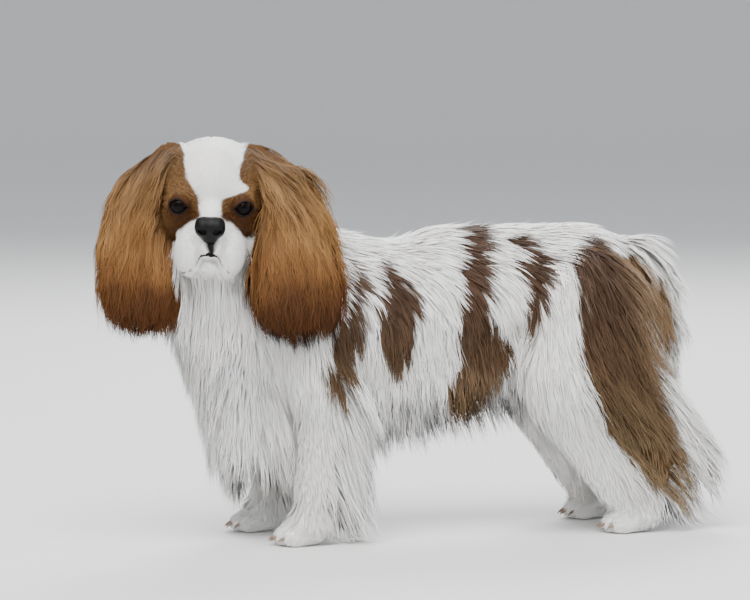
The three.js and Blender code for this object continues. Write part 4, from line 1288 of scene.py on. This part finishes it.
def claw(x, y):
    """A claw: rings along an arc that drops to the ground, its radius times 1 - 0.96 t^2."""
    t = np.linspace(0, 1, CLAW_RINGS)[:, None]
    u = np.linspace(0, 2 * math.pi, CLAW_SIDES + 1)[:-1]
    angle = t * CLAW_TURN
    line = [x - CLAW_REACH * np.sin(angle), np.full_like(t, y), 9 - CLAW_DROP * (1 - np.cos(angle))]
    ring = np.stack([np.zeros_like(u), np.cos(u), np.sin(u)], axis=1)
    radius = CLAW_RADIUS * (1 - 0.96 * t**2)
    return (np.concatenate(line, axis=1)[:, None] + radius[:, None] * ring[None]).reshape(-1, 3)


feet = [(foot_x[s], s) for s in (LEFT, RIGHT) for foot_x in (FORE_FOOT_X, HIND_FOOT_X)]
toes = [toe_place(x, s, k) for x, s in feet for k in TOES]
claw_points = np.concatenate([claw(x - 30, y) for x, y in toes])
one_claw = grid_faces(CLAW_RINGS, CLAW_SIDES, wrap=True)[:, [0, 3, 2, 1]]
claw_faces = np.concatenate([one_claw + CLAW_RINGS * CLAW_SIDES * n for n in range(len(toes))])
claw_horn = plain_material("claw_horn", 0.35, 300.0, (0.16, 0.10, 0.07), (0.34, 0.25, 0.19))
claws = mesh_piece("claws", placed(claw_points), claw_faces, claw_horn)
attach(claws, "root")

# Stage

FLOOR_HALF, FLAT_RADIUS, SWEEP = 18.0, 9.0, 0.12
FLOOR_LINES = 73


def floor_points():
    """A floor that sweeps up far from the dog: a grid of points at height SWEEP (r - FLAT_RADIUS)^2,
    and 0 where r, the distance from the middle, is less than FLAT_RADIUS."""
    line = np.linspace(-FLOOR_HALF, FLOOR_HALF, FLOOR_LINES)
    x, y = (values.ravel() for values in np.meshgrid(line, line, indexing="ij"))
    return np.column_stack([x, y, SWEEP * np.maximum(np.hypot(x, y) - FLAT_RADIUS, 0) ** 2])


pale_floor = plain_material("pale_floor", 0.8, 60.0, (0.79, 0.79, 0.785), (0.81, 0.81, 0.805))
floor = mesh_piece("floor", floor_points(), grid_faces(FLOOR_LINES, FLOOR_LINES, wrap=False), pale_floor)

CAMERA_TURN, CAMERA_RISE = math.radians(-14), math.radians(5)
CAMERA_DISTANCE, FOCAL_LENGTH, SENSOR_WIDTH = 3.2, 153.6, 36
AIM = placed(np.array([0.0, 0.0, 236.0]))
back_way = np.array(
    [
        math.sin(CAMERA_TURN) * math.cos(CAMERA_RISE),
        -math.cos(CAMERA_TURN) * math.cos(CAMERA_RISE),
        math.sin(CAMERA_RISE),
    ]
)
camera_data = bpy.data.cameras.new("camera")
camera_data.sensor_width = SENSOR_WIDTH
camera_data.lens = FOCAL_LENGTH
camera = bpy.data.objects.new("camera", camera_data)
bpy.context.scene.collection.objects.link(camera)
camera.location = AIM + CAMERA_DISTANCE * back_way
camera.rotation_euler = (math.pi / 2 - CAMERA_RISE, 0, CAMERA_TURN)
bpy.context.scene.camera = camera


def area_light(name, at, size, power, colour=(1, 1, 1)):
    """A soft square light at a place, aimed at the dog."""
    light = bpy.data.lights.new(name, "AREA")
    light.shape, light.size, light.energy, light.color = "SQUARE", size, power, colour
    lamp = bpy.data.objects.new(name, light)
    lamp.location = at
    ahead = unit(np.array(AIM) - np.array(at))
    lamp.rotation_euler = (math.acos(-ahead[2]), 0, math.atan2(ahead[1], ahead[0]) - math.pi / 2)
    bpy.context.scene.collection.objects.link(lamp)


area_light("key", (-0.8, -1.4, 3.0), 2.4, 185, (1, 0.99, 0.97))
area_light("fill", (2.4, -1.8, 1.4), 2.2, 30, (0.94, 0.97, 1))
area_light("rim", (0.8, 2.2, 2.4), 1.8, 105)
area_light("catch", (-1.1, -2.9, 1.3), 0.3, 9)
world = bpy.data.worlds.new("studio")
world.use_nodes = True
world.node_tree.nodes["Background"].inputs["Color"].default_value = (0.92, 0.95, 1, 1)
world.node_tree.nodes["Background"].inputs["Strength"].default_value = 0.7
bpy.context.scene.world = world
